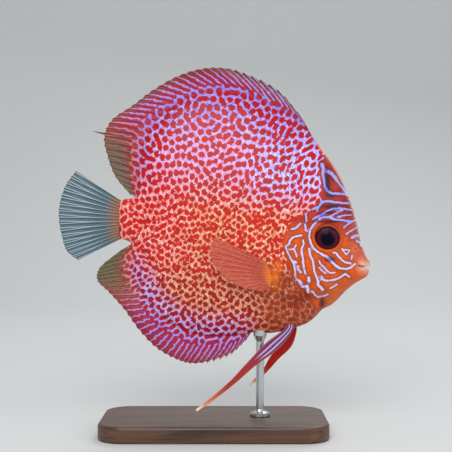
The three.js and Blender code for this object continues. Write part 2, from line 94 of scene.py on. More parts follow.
# The pale lines on the face and the gill cover, traced one by one. Each row gives half the line's
# width in millimetres, then its points as steps across and down the side view.
FACE_LINES = [(row[0], pixels(*zip(row[1::2], row[2::2]))) for row in (
    (0.62, 315.6, 222.5, 312.2, 226, 309.8, 230, 309, 236.3, 310.3, 242.5, 313.1, 248.1, 316.9,
     251.3, 321.3, 253.8),
    (0.78, 321.3, 253.8, 326.3, 256.5, 330.6, 260.6, 335, 265.6, 340, 268.1),
    (0.62, 340, 268.1, 346.3, 269, 351.3, 266.9, 355, 263.8),
    (0.58, 333.1, 252.5, 336.3, 253.1, 338.1, 256.3, 341.3, 259.4, 345, 262.5, 350, 263.1),
    (0.36, 341.6, 249, 346.3, 254.8, 349.6, 250.3, 341.6, 249),
    (0.5, 351.9, 255.6, 351.2, 259),
    (0.62, 308.8, 248.8, 309.8, 255, 311.9, 258.8, 313.1, 263.8, 313.8, 270, 315.6, 275, 317.5,
     280),
    (0.85, 317.5, 280, 317.9, 284.6, 321, 288, 322.9, 289.6),
    (0.62, 302.8, 240.6, 303.5, 243.8, 301.5, 248.1, 301.3, 253.1, 302.8, 258.1, 303.1, 263.8,
     303.8, 268.8, 304.8, 273.1),
    (0.58, 301.3, 235.4, 295.6, 236.3, 291.9, 237.8, 289.4, 241.3, 288.8, 243.8, 285.6, 246.3,
     286.3, 249.4, 288.1, 253.8, 290.6, 258.8, 293.8, 265, 294.8, 271.3, 295, 276.9, 298.1,
     282.5, 301.9, 286.9, 306.3, 285.6, 307.5, 291.3),
    (0.45, 295.6, 245, 293.8, 248.8, 290.6, 249.4),
    (0.45, 293.8, 248.8, 295.6, 253.1, 296.3, 256.3),
    (0.85, 294.4, 261.8, 295.8, 262.4),
    (0.42, 297.8, 266, 298.6, 269.8, 300.2, 272.3),
    (0.65, 298.7, 280, 301, 282.4),
    (0.95, 308.2, 277.6, 308.6, 280.6),
    (0.9, 307.2, 286, 307.8, 291.6),
    (0.48, 319, 260.6, 320, 263.8, 323.1, 266.3, 326.3, 270, 330, 273.1, 335, 272.5),
    (0.36, 318.9, 267.4, 321.8, 270.8, 325.4, 273.6),
    (0.62, 321.3, 276.3, 322.5, 279.4, 326.3, 280.6, 332.5, 280, 337.5, 278.8, 342.5, 275.6,
     345, 273.8, 349.4, 276.9),
    (0.6, 330, 288.1, 333.8, 286.3, 336.9, 284.4),
    (0.6, 312.5, 291.3, 314.4, 294.4, 317.5, 296.9, 322.5, 296.3, 327.5, 294.4),
    (1.25, 322.2, 164.6, 323.2, 168.9),
    (0.8, 323.3, 169, 322.6, 175, 323.9, 180, 324.6, 186, 326.7, 190.6),
    (0.8, 326.7, 190.6, 332.2, 193.6, 338.9, 193.6),
    (0.6, 338.9, 193.6, 345.6, 194.6, 347.8, 195.6),
    (1.1, 328.2, 171.5, 332.4, 174, 336, 179),
    (0.75, 336, 179, 341.1, 185.6, 344.4, 190, 347.2, 194.4),
    (0.7, 313, 209, 319, 206.4, 321.7, 202.2, 327.8, 201.1, 334.4, 202.2, 341.1, 202.8, 348.9,
     203.3),
    (0.45, 321.7, 202.2, 319.5, 197.5, 317, 193),
    (0.58, 321.9, 214.4, 326.5, 211.2, 332.4, 208.9, 338.9, 208.1, 346, 209, 351.6, 210),
    (0.5, 330, 216.3, 336.3, 212.8, 342.5, 210),
    (0.45, 337.5, 216.9, 344, 215.4, 351.3, 215),
    (0.7, 318.8, 219.4, 322.4, 216.9, 328.8, 217.3, 333.8, 219.4),
    (0.62, 333.8, 219.4, 340, 220, 345, 220.6, 351.3, 221.3, 356.3, 220),
    (0.5, 312.5, 219.4, 316, 216.9, 320, 215),
    (0.5, 343.8, 227.5, 347.5, 224.4, 352.5, 221.9),
    (0.55, 346.3, 233.8, 350, 231.3, 356.9, 227.5),
    (0.95, 351.8, 237.8, 355, 236, 358.6, 235.6),
    (0.8, 357, 241.2, 360.4, 242.6, 361.9, 246),
    (0.58, 298.8, 215, 305, 213.1, 311.3, 208.8, 313.1, 205.6),
    (0.58, 305.6, 213.1, 306.3, 221),
    (0.58, 305, 224.4, 305.6, 230.6),
    (0.6, 291.3, 229.4, 295.6, 228.1, 300, 223.8),
    (0.45, 316.9, 211.3, 318.1, 206.3),
)]
GILL_RIM = pixels((303, 222), (293, 228), (286, 240), (286.5, 252), (291, 266), (296, 279),
                  (304, 291), (314, 300))
CHEEK_GROOVE = pixels((307, 234), (307, 246), (310, 260), (314, 272), (318, 282), (324, 291))
# Soft oval patches on the head, each given as forward, up, wide and tall in millimetres: the
# dark smudges before the eye, the painted shade in the nostril's pit, the pale gaps over the eye,
# the painted shade in the throat's notch and under the gill cover, the breast fin's swollen base,
# and the orange there and at the nostril.
# The last of these patches is painted shade in the nostril's pit.
SMUDGES_AND_NOSTRIL_SHADE = ((53.7, 20.5, 1.5, 6.0), (55.2, 14.6, 3.0, 0.9), (55.5, 9.2, 5.0, 1.1),
           (54.5, 6.2, 3.0, 0.7), (54, 1.6, 6.0, 0.7), (50.8, 5.0, 1.5, 1.2),
           (54.8, -17.2, 2.4, 1.2), (67.75, -12.1, 0.4, 0.4))
CROWN_GAPS = ((58.6, 23.0, 1.7, 4.2), (53.6, 31.5, 1.5, 1.5))
PAINTED_THROAT_SHADE = ((51.0, -38.8, 1.6, 3.4), (51.0, -39.4, 1.1, 2.6), (38, -36.5, 9.0, 3.0))
FIN_BASE = ((28.2, -25.3, 2.6, 6.4),)
ORANGE_ROOTS = ((27.2, -26.5, 1.8, 5.6), (29.4, -20.5, 1.2, 2.6), (67.75, -12.1, 1.3, 1.3))


def smoothstep(low: float, high: float, value: np.ndarray) -> np.ndarray:
    """Eases from 0 at low to 1 at high."""
    share = np.clip((value - low) / (high - low), 0, 1)
    return share * share * (3 - 2 * share)


def swell(gap: np.ndarray, width: float, at: float = 0.0) -> np.ndarray:
    """Gives a soft bell: 1 where the gap is as large as told, and falling off over a width."""
    return np.exp(-((gap - at) / width) ** 2)


def blend(first: np.ndarray, second: np.ndarray, share: np.ndarray) -> np.ndarray:
    """Mixes two values, or two colours a row, by a share of the second.

    Args:
        first: The value or colour at share 0.
        second: The value or colour at share 1.
        share: How much of the second shows.

    Returns:
        The mixture.
    """
    first, second, share = (np.asarray(value, float) for value in (first, second, share))
    if max(first.ndim, second.ndim) > share.ndim or first.shape == second.shape == (3,):
        share = share[..., None]
    return first + (second - first) * share


def linear(code: str) -> np.ndarray:
    """Turns an sRGB hex colour into linear red, green and blue."""
    parts = np.array([int(code[i:i + 2], 16) for i in (1, 3, 5)]) / 255
    return np.where(parts <= 0.04045, parts / 12.92, ((parts + 0.055) / 1.055) ** 2.4)


def rgba(code: str) -> tuple[float, float, float, float]:
    """Turns an sRGB hex colour into a linear colour for a shader's socket."""
    return (*linear(code).tolist(), 1.0)


def layered(base: str, *layers: tuple[str, np.ndarray]) -> np.ndarray:
    """Lays sRGB hex colours over a base one after the other, each by its share.

    Args:
        base: The colour under all others.
        layers: Each colour with its share at each place, the lowest first.

    Returns:
        The linear colour at each place.
    """
    colour = linear(base)
    for code, share in layers:
        colour = blend(colour, linear(code), share)
    return colour


def along(rows: np.ndarray, place: np.ndarray, column: int) -> np.ndarray:
    """Reads a smooth value from rows of a place and its values.

    Args:
        rows: Rows sorted by their first column, the place.
        place: Where to read.
        column: Which of the row's values to read.

    Returns:
        The value at each place.
    """
    spots, values = rows[:, 0], rows[:, column]
    before = np.concatenate([[0], np.arange(len(rows) - 1)])
    after = np.concatenate([np.arange(1, len(rows)), [len(rows) - 1]])
    slopes = (values[after] - values[before]) / (spots[after] - spots[before])
    x = np.clip(place, spots[0], spots[-1])
    i = np.clip(np.searchsorted(spots, x, side="left") - 1, 0, len(rows) - 2)
    span = spots[i + 1] - spots[i]
    t = (x - spots[i]) / span
    held = (2 * t ** 3 - 3 * t ** 2 + 1) * values[i] + (3 * t ** 2 - 2 * t ** 3) * values[i + 1]
    return (held + (t ** 3 - 2 * t ** 2 + t) * span * slopes[i]
            + (t ** 3 - t ** 2) * span * slopes[i + 1])


def curve_at(points: np.ndarray, share: np.ndarray, closed: bool = False) -> np.ndarray:
    """Follows a centripetal curve through points.

    Args:
        points: The points that the curve passes.
        share: How far along, from 0 to 1, with an equal part for each pair of points.
        closed: Whether the last point joins the first.

    Returns:
        One point for each share.
    """
    count = len(points)
    pieces = count if closed else count - 1
    if closed:
        padded = np.concatenate([points[-1:], points, points[:2]])
    else:
        padded = np.concatenate([[2 * points[0] - points[1]], points,
                                 [2 * points[-1] - points[-2]]])
    place = np.clip(np.asarray(share, float), 0, 1) * pieces
    i = np.minimum(place.astype(int), pieces - 1)
    t = (place - i)[:, None]
    a, b, c, d = (padded[i + k] for k in range(4))
    steps = [np.maximum(np.linalg.norm(q - p, axis=1, keepdims=True) ** 0.5, 1e-4)
             for p, q in ((a, b), (b, c), (c, d))]
    first, middle, last = steps
    leave = ((b - a) / first - (c - a) / (first + middle) + (c - b) / middle) * middle
    arrive = ((c - b) / middle - (d - b) / (middle + last) + (d - c) / last) * middle
    return (b + leave * t + (-3 * b + 3 * c - 2 * leave - arrive) * t ** 2
            + (2 * b - 2 * c + leave + arrive) * t ** 3)


def distance_to_line(spots: np.ndarray, line: np.ndarray) -> tuple[np.ndarray, np.ndarray]:
    """Measures how far spots lie from a line of straight steps.

    Args:
        spots: Places in the side view, one a row.
        line: The line's points.

    Returns:
        The distance, and how far along the line from 0 to 1 the nearest point is.
    """
    best = np.full(len(spots), 1e9)
    where = np.zeros(len(spots))
    for step in range(len(line) - 1):
        run = line[step + 1] - line[step]
        t = np.clip((spots - line[step]) @ run / (run @ run), 0, 1)
        gap = np.linalg.norm(spots - line[step] - t[:, None] * run, axis=1)
        nearer = gap < best
        best[nearer] = gap[nearer]
        where[nearer] = (step + t[nearer]) / (len(line) - 1)
    return best, where


def to_model(forward: np.ndarray, across: np.ndarray, up: np.ndarray) -> np.ndarray:
    """Places millimetres of the fish in the model's frame, in metres."""
    return np.stack([forward + FISH_FORWARD, across, up + MIDDLE_Z], -1) * MM


@dataclass
class BodyForm:
    """The body's shape: how thick it is at each place of its side view."""

    rim_samples: int = 2048
    # How round the sections are on the body and on the head, and how square their ends.
    body_power: float = 0.86
    head_power: float = 0.62
    cap_power: int = 24
    edge_power: int = 6
    # How far the head's forms stand out from the skin or cut into it, in millimetres.
    eye_rim: float = 0.8
    socket: float = 3.5
    gill_step: float = 0.95
    cheek_groove: float = 0.4
    nostril_rim: float = 0.25
    nostril_pit: float = 1.1
    lips: float = 1.0
    mouth_slit: float = 2.6
    fin_base: float = 1.1
    rim: np.ndarray = field(init=False)
    angles: np.ndarray = field(init=False)
    reaches: np.ndarray = field(init=False)

    def __post_init__(self) -> None:
        """Samples the outline and its distance from the pole in each direction."""
        self.rim = curve_at(OUTLINE, np.linspace(0, 1, self.rim_samples, endpoint=False), True)
        arms = self.rim - POLE
        angle = np.arctan2(arms[:, 1], arms[:, 0])
        order = np.argsort(angle)
        self.angles = angle[order]
        self.reaches = np.linalg.norm(arms, axis=1)[order]

    def share_at(self, spots: np.ndarray) -> np.ndarray:
        """Gives how far each spot lies from the pole to the rim, from 0 to 1.

        Args:
            spots: Places in the side view, one a row.

        Returns:
            The share at each spot.
        """
        arms = spots - POLE
        angle = np.arctan2(arms[:, 1], arms[:, 0])
        reach = np.interp(angle, self.angles, self.reaches, period=2 * math.pi)
        return np.linalg.norm(arms, axis=1) / reach

    def lens(self, spots: np.ndarray) -> np.ndarray:
        """Gives half the thickness of the plain body at each spot, without its rim.

        Args:
            spots: Places in the side view, one a row.

        Returns:
            The half thickness in millimetres.
        """
        crown = along(SECTIONS, spots[:, 0], 2)
        keel = along(SECTIONS, spots[:, 0], 3)
        widest = (crown + keel) / 2 - WIDEST_DROP * (crown - keel)
        reach = np.where(spots[:, 1] > widest, crown - widest, widest - keel)
        share = np.minimum(np.abs(spots[:, 1] - widest) / reach, 1)
        change = (self.head_power - self.body_power) * smoothstep(30, 55, spots[:, 0])
        power = self.body_power + change
        return along(SECTIONS, spots[:, 0], 1) * (1 - share * share) ** power

    def folds(self, spots: np.ndarray) -> np.ndarray:
        """Gives how far the skin stands out at each spot, in millimetres, for the head's forms.

        Args:
            spots: Places in the side view, one a row.

        Returns:
            The rise at each spot.
        """
        eye = np.linalg.norm(spots - EYE_AT, axis=1)
        raised = self.eye_rim * swell(eye, 0.85, EYE_RADIUS + 0.55)
        raised -= self.socket * (1 - smoothstep(EYE_RADIUS - 1.3, EYE_RADIUS - 0.1, eye))
        gap, where = distance_to_line(spots, GILL_RIM)
        ends = smoothstep(0, 0.12, where) * (1 - smoothstep(0.88, 1, where))
        step = np.where(self.before_gill_rim(spots), 1 - smoothstep(1.5, 15, gap),
                        1 - smoothstep(0, 0.5, gap))
        raised += self.gill_step * ends * step
        raised -= self.cheek_groove * swell(distance_to_line(spots, CHEEK_GROOVE)[0], 0.9)
        nostril = np.linalg.norm(spots - NOSTRIL_AT, axis=1)
        raised += self.nostril_rim * swell(nostril, 0.5, 1.2)
        raised -= self.nostril_pit * swell(nostril, 0.6)
        mouth, reach = distance_to_line(spots, MOUTH_LINE)
        raised += self.lips * smoothstep(0.02, 0.5, reach) * swell(mouth, 1.0, 1.5)
        raised -= self.mouth_slit * swell(mouth, 0.42)
        return raised + self.fin_base * patches(spots, FIN_BASE)

    def before_gill_rim(self, spots: np.ndarray) -> np.ndarray:
        """Tells which spots lie forward of the gill cover's rear edge.

        Args:
            spots: Places in the side view, one a row.

        Returns:
            True for each spot before the edge.
        """
        order = np.argsort(GILL_RIM[:, 1])
        edge = np.interp(spots[:, 1], GILL_RIM[order, 1], GILL_RIM[order, 0])
        return spots[:, 0] > edge

    def half(self, spots: np.ndarray, share: np.ndarray, lift: float = 0.0) -> np.ndarray:
        """Gives half the dressed body's thickness.

        Args:
            spots: Places in the side view.
            share: How far each lies towards the rim.
            lift: How far the surface is moved outwards, in millimetres.

        Returns:
            The half thickness at each spot.
        """
        share = np.clip(share, 0, 1)
        cap = np.sqrt(1 - share ** self.cap_power)
        edge = np.sqrt(1 - share ** self.edge_power)
        fade = 1 - smoothstep(0.9, 1.0, share)
        mouth = smoothstep(66, 68, spots[:, 0])
        whole = (self.lens(spots) + lift) * cap + RIM_HALF * edge
        fold = self.folds(spots) * np.maximum(fade, mouth * cap)
        return np.maximum(whole + fold, 0.25 * whole)


class Look(Enum):
    """The regions of the skin's markings, painted shade and rim light: the spots, the ground
    between them, the spots' share.
    """

    BACK = ("#ac0e20", "#9079d2", 0.52)
    SHOULDER = ("#b80f0c", "#d090cc", 0.49)
    NAPE = ("#b41418", "#aaa0ee", 0.48)
    FLANK = ("#c2220c", "#de9068", 0.50)
    TAIL = ("#c41a12", "#e4837a", 0.49)
    BELLY = ("#a0200c", "#d88460", 0.45)
    KEEL = ("#a8121f", "#bc98e2", 0.46)
    # The breast's own orange-brown with red-brown mottle, partly painted darker as shade low on the
    # body.
    BREAST = ("#9a3410", "#b04a18", 0.45)
    # The next look is painted shade: the dark under the gill cover and in the throat's notch.
    PAINTED_SHADE = ("#5a140a", "#6e1e0e", 0.7)
    CHEEK = ("#d2540c", "#cdc8f4", 0.9)
    BROW = ("#b02a1c", "#9ca4ee", 0.9)
    CHIN = ("#c85c24", "#d4acd8", 0.9)
    SNOUT = ("#c25c50", "#c8a4d4", 0.9)
    # The next look's dark mark also paints the shade in the nostril's pit.
    SMUDGE_AND_NOSTRIL_SHADE = ("#38061a", "#5c6cdc", 0.9)
    BASE = ("#e8781c", "#f09440", 0.9)
    # The next look colours the pale lips and also paints a rim light along the forehead's edge.
    LIP_AND_RIM_LIGHT = ("#f0b8a4", "#f8e0d4", 0.9)

    @property
    def mark(self) -> np.ndarray:
        """The linear colour of the spots."""
        return linear(self.value[0])

    @property
    def ground(self) -> np.ndarray:
        """The linear colour between the spots."""
        return linear(self.value[1])

    @property
    def share(self) -> float:
        """How much of the skin the spots cover."""
        return self.value[2]


@dataclass
class SpotField:
    """Spots as growing skin spreads them, evenly but with some run together.

    The field starts from noise, and each step feeds one wavelength and holds back the others.
    """

    size: int = 512
    per_spot: float = 9.5
    feed: float = 0.2
    roundness: float = 1.7
    steps: int = 40
    pace: float = 0.4
    seed: int = 4
    heights: np.ndarray = field(init=False)
    ranks: np.ndarray = field(init=False)

    def __post_init__(self) -> None:
        """Grows the field and sorts its heights, from which a share of cover is read."""
        rng = np.random.default_rng(self.seed)
        grown = rng.normal(0, 0.35, (self.size, self.size))
        across = np.fft.rfftfreq(self.size) * self.per_spot
        up = np.fft.fftfreq(self.size) * self.per_spot
        wave = across[None, :] ** 2 + up[:, None] ** 2
        hold = 1 - self.pace * (self.feed - (1 - wave) ** 2)
        for _ in range(self.steps):
            push = self.roundness * grown ** 2 - grown ** 3
            grown = np.fft.irfft2(np.fft.rfft2(grown + self.pace * push) / hold, s=grown.shape)
        self.heights = grown
        self.ranks = np.quantile(grown, np.linspace(0, 1, 101))

    def read(self, cells: np.ndarray, share: np.ndarray) -> np.ndarray:
        """Gives how far each place is inside a spot.

        Args:
            cells: Places counted in spots.
            share: How much of the skin is to be spot there.

        Returns:
            Above 0 inside a spot, below 0 between spots.
        """
        place = cells[:, :2] * self.per_spot
        low = np.floor(place).astype(int)
        part = place - low
        total = np.zeros(len(cells))
        for right in (0, 1):
            for over in (0, 1):
                weight = np.abs(1 - right - part[:, 0]) * np.abs(1 - over - part[:, 1])
                total += weight * self.heights[(low[:, 1] + over) % self.size,
                                               (low[:, 0] + right) % self.size]
        return total - np.interp(1 - share, np.linspace(0, 1, 101), self.ranks)


def patches(spots: np.ndarray,
            places: tuple[tuple[float, float, float, float], ...]) -> np.ndarray:
    """Gives how strongly soft oval patches show, each told as forward, up, wide, tall.

    Args:
        spots: Places in the side view, one a row.
        places: The patches.

    Returns:
        From 0 to 1 at each spot.
    """
    shown = np.zeros(len(spots))
    for forward, up, wide, tall in places:
        reach = ((spots[:, 0] - forward) / wide) ** 2 + ((spots[:, 1] - up) / tall) ** 2
        shown = np.maximum(shown, np.exp(-reach))
    return shown


@dataclass
class Markings:
    """Where spots and lines lie on the skin, and their colours, for skin and scales alike."""

    form: BodyForm
    spots: SpotField = field(default_factory=SpotField)
    # By height: how wide and how tall one spot's share of the skin is, in millimetres.
    sizes: tuple[tuple[float, float, float], ...] = (
        (-60, 3.1, 3.0), (-42, 2.8, 3.1), (-25, 2.4, 2.9), (-5, 2.2, 2.9), (12, 2.45, 3.6),
        (30, 2.75, 4.1), (50, 3.3, 3.7), (70, 3.6, 3.7))
    middle: float = -10.0
    lean: float = 0.08
    # The side view is seen from this far off, with this place in its middle.
    seen_from: float = 534.0
    seen_middle: tuple[float, float] = (3.0, -0.5)

    def cells(self, spots: np.ndarray) -> np.ndarray:
        """Gives coordinates that count the spots: one unit is one spot wide or tall.

        Args:
            spots: Places in the side view, one a row.

        Returns:
            Two coordinates for each spot.
        """
        table = np.array(self.sizes)
        heights = np.linspace(-100, 90, 381)
        tall = along(table, heights, 2)
        climb = np.concatenate([[0], np.cumsum(0.25 * (1 / tall[1:] + 1 / tall[:-1]))])
        wide = along(table, spots[:, 1], 1)
        side = (spots[:, 0] - self.middle - self.lean * spots[:, 1]) / wide
        return np.stack([side, np.interp(spots[:, 1], heights, climb)], 1)

    def seen(self, spots: np.ndarray) -> np.ndarray:
        """Gives where spots on the rounded flank stand in the side view, spread by their depth.

        Args:
            spots: Places in the side view, one a row.

        Returns:
            The seen place of each spot.
        """
        depth = self.form.lens(spots)[:, None]
        middle = np.array(self.seen_middle)
        return middle + (spots - middle) * self.seen_from / (self.seen_from - depth)

    def face_share(self, spots: np.ndarray) -> np.ndarray:
        """Gives 1 on the face, with its lines, and 0 on the spotted body.

        Args:
            spots: Places in the side view, one a row.

        Returns:
            The share at each spot.
        """
        line = pixels((352, 130), (327, 157), (318.5, 162), (319.5, 170), (321, 180), (322, 192),
                      (318.5, 202), (311, 209), (300, 216), (291, 225), (285, 236), (283, 246),
                      (288, 262), (293, 276), (302, 291), (312, 303), (322, 314), (330, 330))
        edge = np.interp(spots[:, 1], line[::-1, 1], line[::-1, 0])
        return smoothstep(-0.7, 0.7, spots[:, 0] - edge)

    def lines(self, spots: np.ndarray) -> np.ndarray:
        """Gives the way to the nearest face line, counted in half widths of that line.

        Args:
            spots: Places in the side view.

        Returns:
            Forward and up to the line, and the plain distance.
        """
        best = np.full(len(spots), 1e9)
        way = np.zeros((len(spots), 3))
        near = np.flatnonzero(spots[:, 0] > 28)
        for half, line in FACE_LINES:
            for start, end in zip(line[:-1], line[1:]):
                run = end - start
                t = np.clip((spots[near] - start) @ run / (run @ run), 0, 1)
                arm = (start + t[:, None] * run - spots[near]) / half
                gap = np.linalg.norm(arm, axis=1)
                nearer = gap < best[near]
                rows = near[nearer]
                best[rows] = gap[nearer]
                way[rows, :2] = arm[nearer]
        way[:, 2] = np.minimum(best, 50)
        far = way[:, 2] > 8
        way[far, 0], way[far, 1] = 50, 0
        return way

    def paint(self, spots: np.ndarray, share: np.ndarray) -> dict[str, np.ndarray]:
        """Works out what the skin's shader needs at each spot.

        Args:
            spots: Places in the side view.
            share: How far each lies towards the rim.

        Returns:
            The named values: the spot field, mark and ground colours, the way to the nearest
            face line, and how much of the face shows.
        """
        spots = self.seen(spots)
        x, z = spots[:, 0], spots[:, 1]
        upper = smoothstep(2, 34, z + 0.12 * x)
        nape = smoothstep(4, 30, x) * smoothstep(4, 26, z)
        ridge = smoothstep(38, 62, z + 0.15 * np.abs(x))
        tail = 1 - smoothstep(-30, -4, x)
        low = smoothstep(-16, -38, z + 0.15 * x)
        keel = smoothstep(0.72, 0.95, share) * smoothstep(-6, -30, z) * (1 - smoothstep(0, 26, x))
        breast = smoothstep(12, 30, x) * smoothstep(-14, -28, z)
        rear = (1 - smoothstep(-38, -26, x)) * smoothstep(0.8, 0.95, share)
        face = self.face_share(spots)
        layers = ((Look.TAIL, tail), (Look.BELLY, low), (Look.SHOULDER, upper),
                  (Look.NAPE, nape), (Look.BACK, np.maximum(ridge, 0.6 * rear * upper)),
                  (Look.KEEL, keel), (Look.BREAST, breast))
        layers += self.face_layers(spots, share, face)
        mark = np.tile(Look.FLANK.mark, (len(x), 1))
        ground = np.tile(Look.FLANK.ground, (len(x), 1))
        cover = np.full(len(x), Look.FLANK.share)
        for look, weight in layers:
            mark = blend(mark, look.mark, weight)
            ground = blend(ground, look.ground, weight)
            cover = blend(cover, look.share, weight)
        inside = self.spots.read(self.cells(spots), cover)
        return {"spot": inside, "mark": mark, "ground": ground, "line": self.lines(spots),
                "face": face}

    def face_layers(self, spots: np.ndarray, share: np.ndarray,
                    face: np.ndarray) -> tuple[tuple[Look, np.ndarray], ...]:
        """Gives the head's looks and how strongly each shows.

        Args:
            spots: Places in the side view.
            share: How far each lies towards the rim.
            face: How much of the face shows.

        Returns:
            Each look with its weight at each spot, the lowest layer first.
        """
        x, z = spots[:, 0], spots[:, 1]
        brow = face * smoothstep(-12, 6, z + 0.25 * (x - 53))
        chin = face * smoothstep(-24, -34, z) * smoothstep(46, 58, x)
        snout = face * smoothstep(63, 68, x) * smoothstep(-21, -14, z) * (1 - smoothstep(0, 8, z))
        smudge_and_nostril_shade = np.minimum(1.35 * patches(spots, SMUDGES_AND_NOSTRIL_SHADE), 1)
        crown = patches(spots, CROWN_GAPS)
        # Painted shade under the gill cover's lower rear edge, joined with the painted shade in the
        # throat.
        behind = swell(distance_to_line(spots, GILL_RIM)[0], 1.4)
        behind = behind * (1 - face) * smoothstep(-16, -26, z)
        shade = np.maximum(patches(spots, PAINTED_THROAT_SHADE), 0.8 * behind)
        base = patches(spots, ORANGE_ROOTS)
        lip = swell(distance_to_line(spots, MOUTH_LINE)[0], 3.0) * smoothstep(67, 72, x)
        # Painted rim light: a thin pale margin along the forehead's edge, in the lips' colours.
        edge = smoothstep(0.975, 0.995, share) * smoothstep(46, 52, x) * smoothstep(-16, -8, z)
        return ((Look.CHEEK, face), (Look.BROW, brow), (Look.CHIN, chin),
                (Look.SNOUT, np.maximum(0.7 * snout, 0.7 * crown * face)),
                (Look.BASE, 0.75 * base), (Look.SMUDGE_AND_NOSTRIL_SHADE, 0.92 * smudge_and_nostril_shade),
                (Look.PAINTED_SHADE, np.minimum(1.1 * shade, 0.95) * blend(0.45, 1.0, face)),
                (Look.LIP_AND_RIM_LIGHT, np.maximum(lip, 0.7 * edge)))


class NodeGraph:
    """A material while its shader nodes are added."""

    def __init__(self, name: str) -> None:
        """Makes an empty node material.

        Args:
            name: The material's name.
        """
        self.material = bpy.data.materials.new(name)
        self.material.use_nodes = True
        self.tree = self.material.node_tree
        self.tree.nodes.clear()

    def add(self, kind: str, inputs: dict | None = None, out: int | str = 0,
            **settings: object) -> bpy.types.NodeSocket:
        """Adds a shader node with its settings, values and links.

        Args:
            kind: The node's type, without its "ShaderNode".
            inputs: Values or sockets for its inputs, by name or index.
            out: Which of its outputs is wanted, by name or index.
            settings: The node's own properties.

        Returns:
            The wanted output.
        """
        made = self.tree.nodes.new("ShaderNode" + kind)
        for name, value in settings.items():
            setattr(made, name, value)
        for key, value in (inputs or {}).items():
            if isinstance(value, bpy.types.NodeSocket):
                self.tree.links.new(value, made.inputs[key])
            else:
                made.inputs[key].default_value = value
        return made.outputs[out]

    def finish(self, shader: bpy.types.NodeSocket) -> bpy.types.Material:
        """Joins a shader to the output and gives the finished material.

        Args:
            shader: The shader's socket.

        Returns:
            The material.
        """
        end = self.tree.nodes.new("ShaderNodeOutputMaterial")
        self.tree.links.new(shader, end.inputs["Surface"])
        return self.material


def set_stops(ramp: bpy.types.NodeSocket, stops: tuple[tuple[float, str], ...]) -> None:
    """Sets the stops of the colour ramp behind a socket, each a place and an sRGB hex colour.

    Args:
        ramp: The ramp's socket.
        stops: The stops, the two lowest first.
    """
    elements = ramp.node.color_ramp.elements
    for i, (spot, code) in enumerate(stops):
        stop = elements[i] if i < 2 else elements.new(spot)
        stop.position = spot
        stop.color = rgba(code)


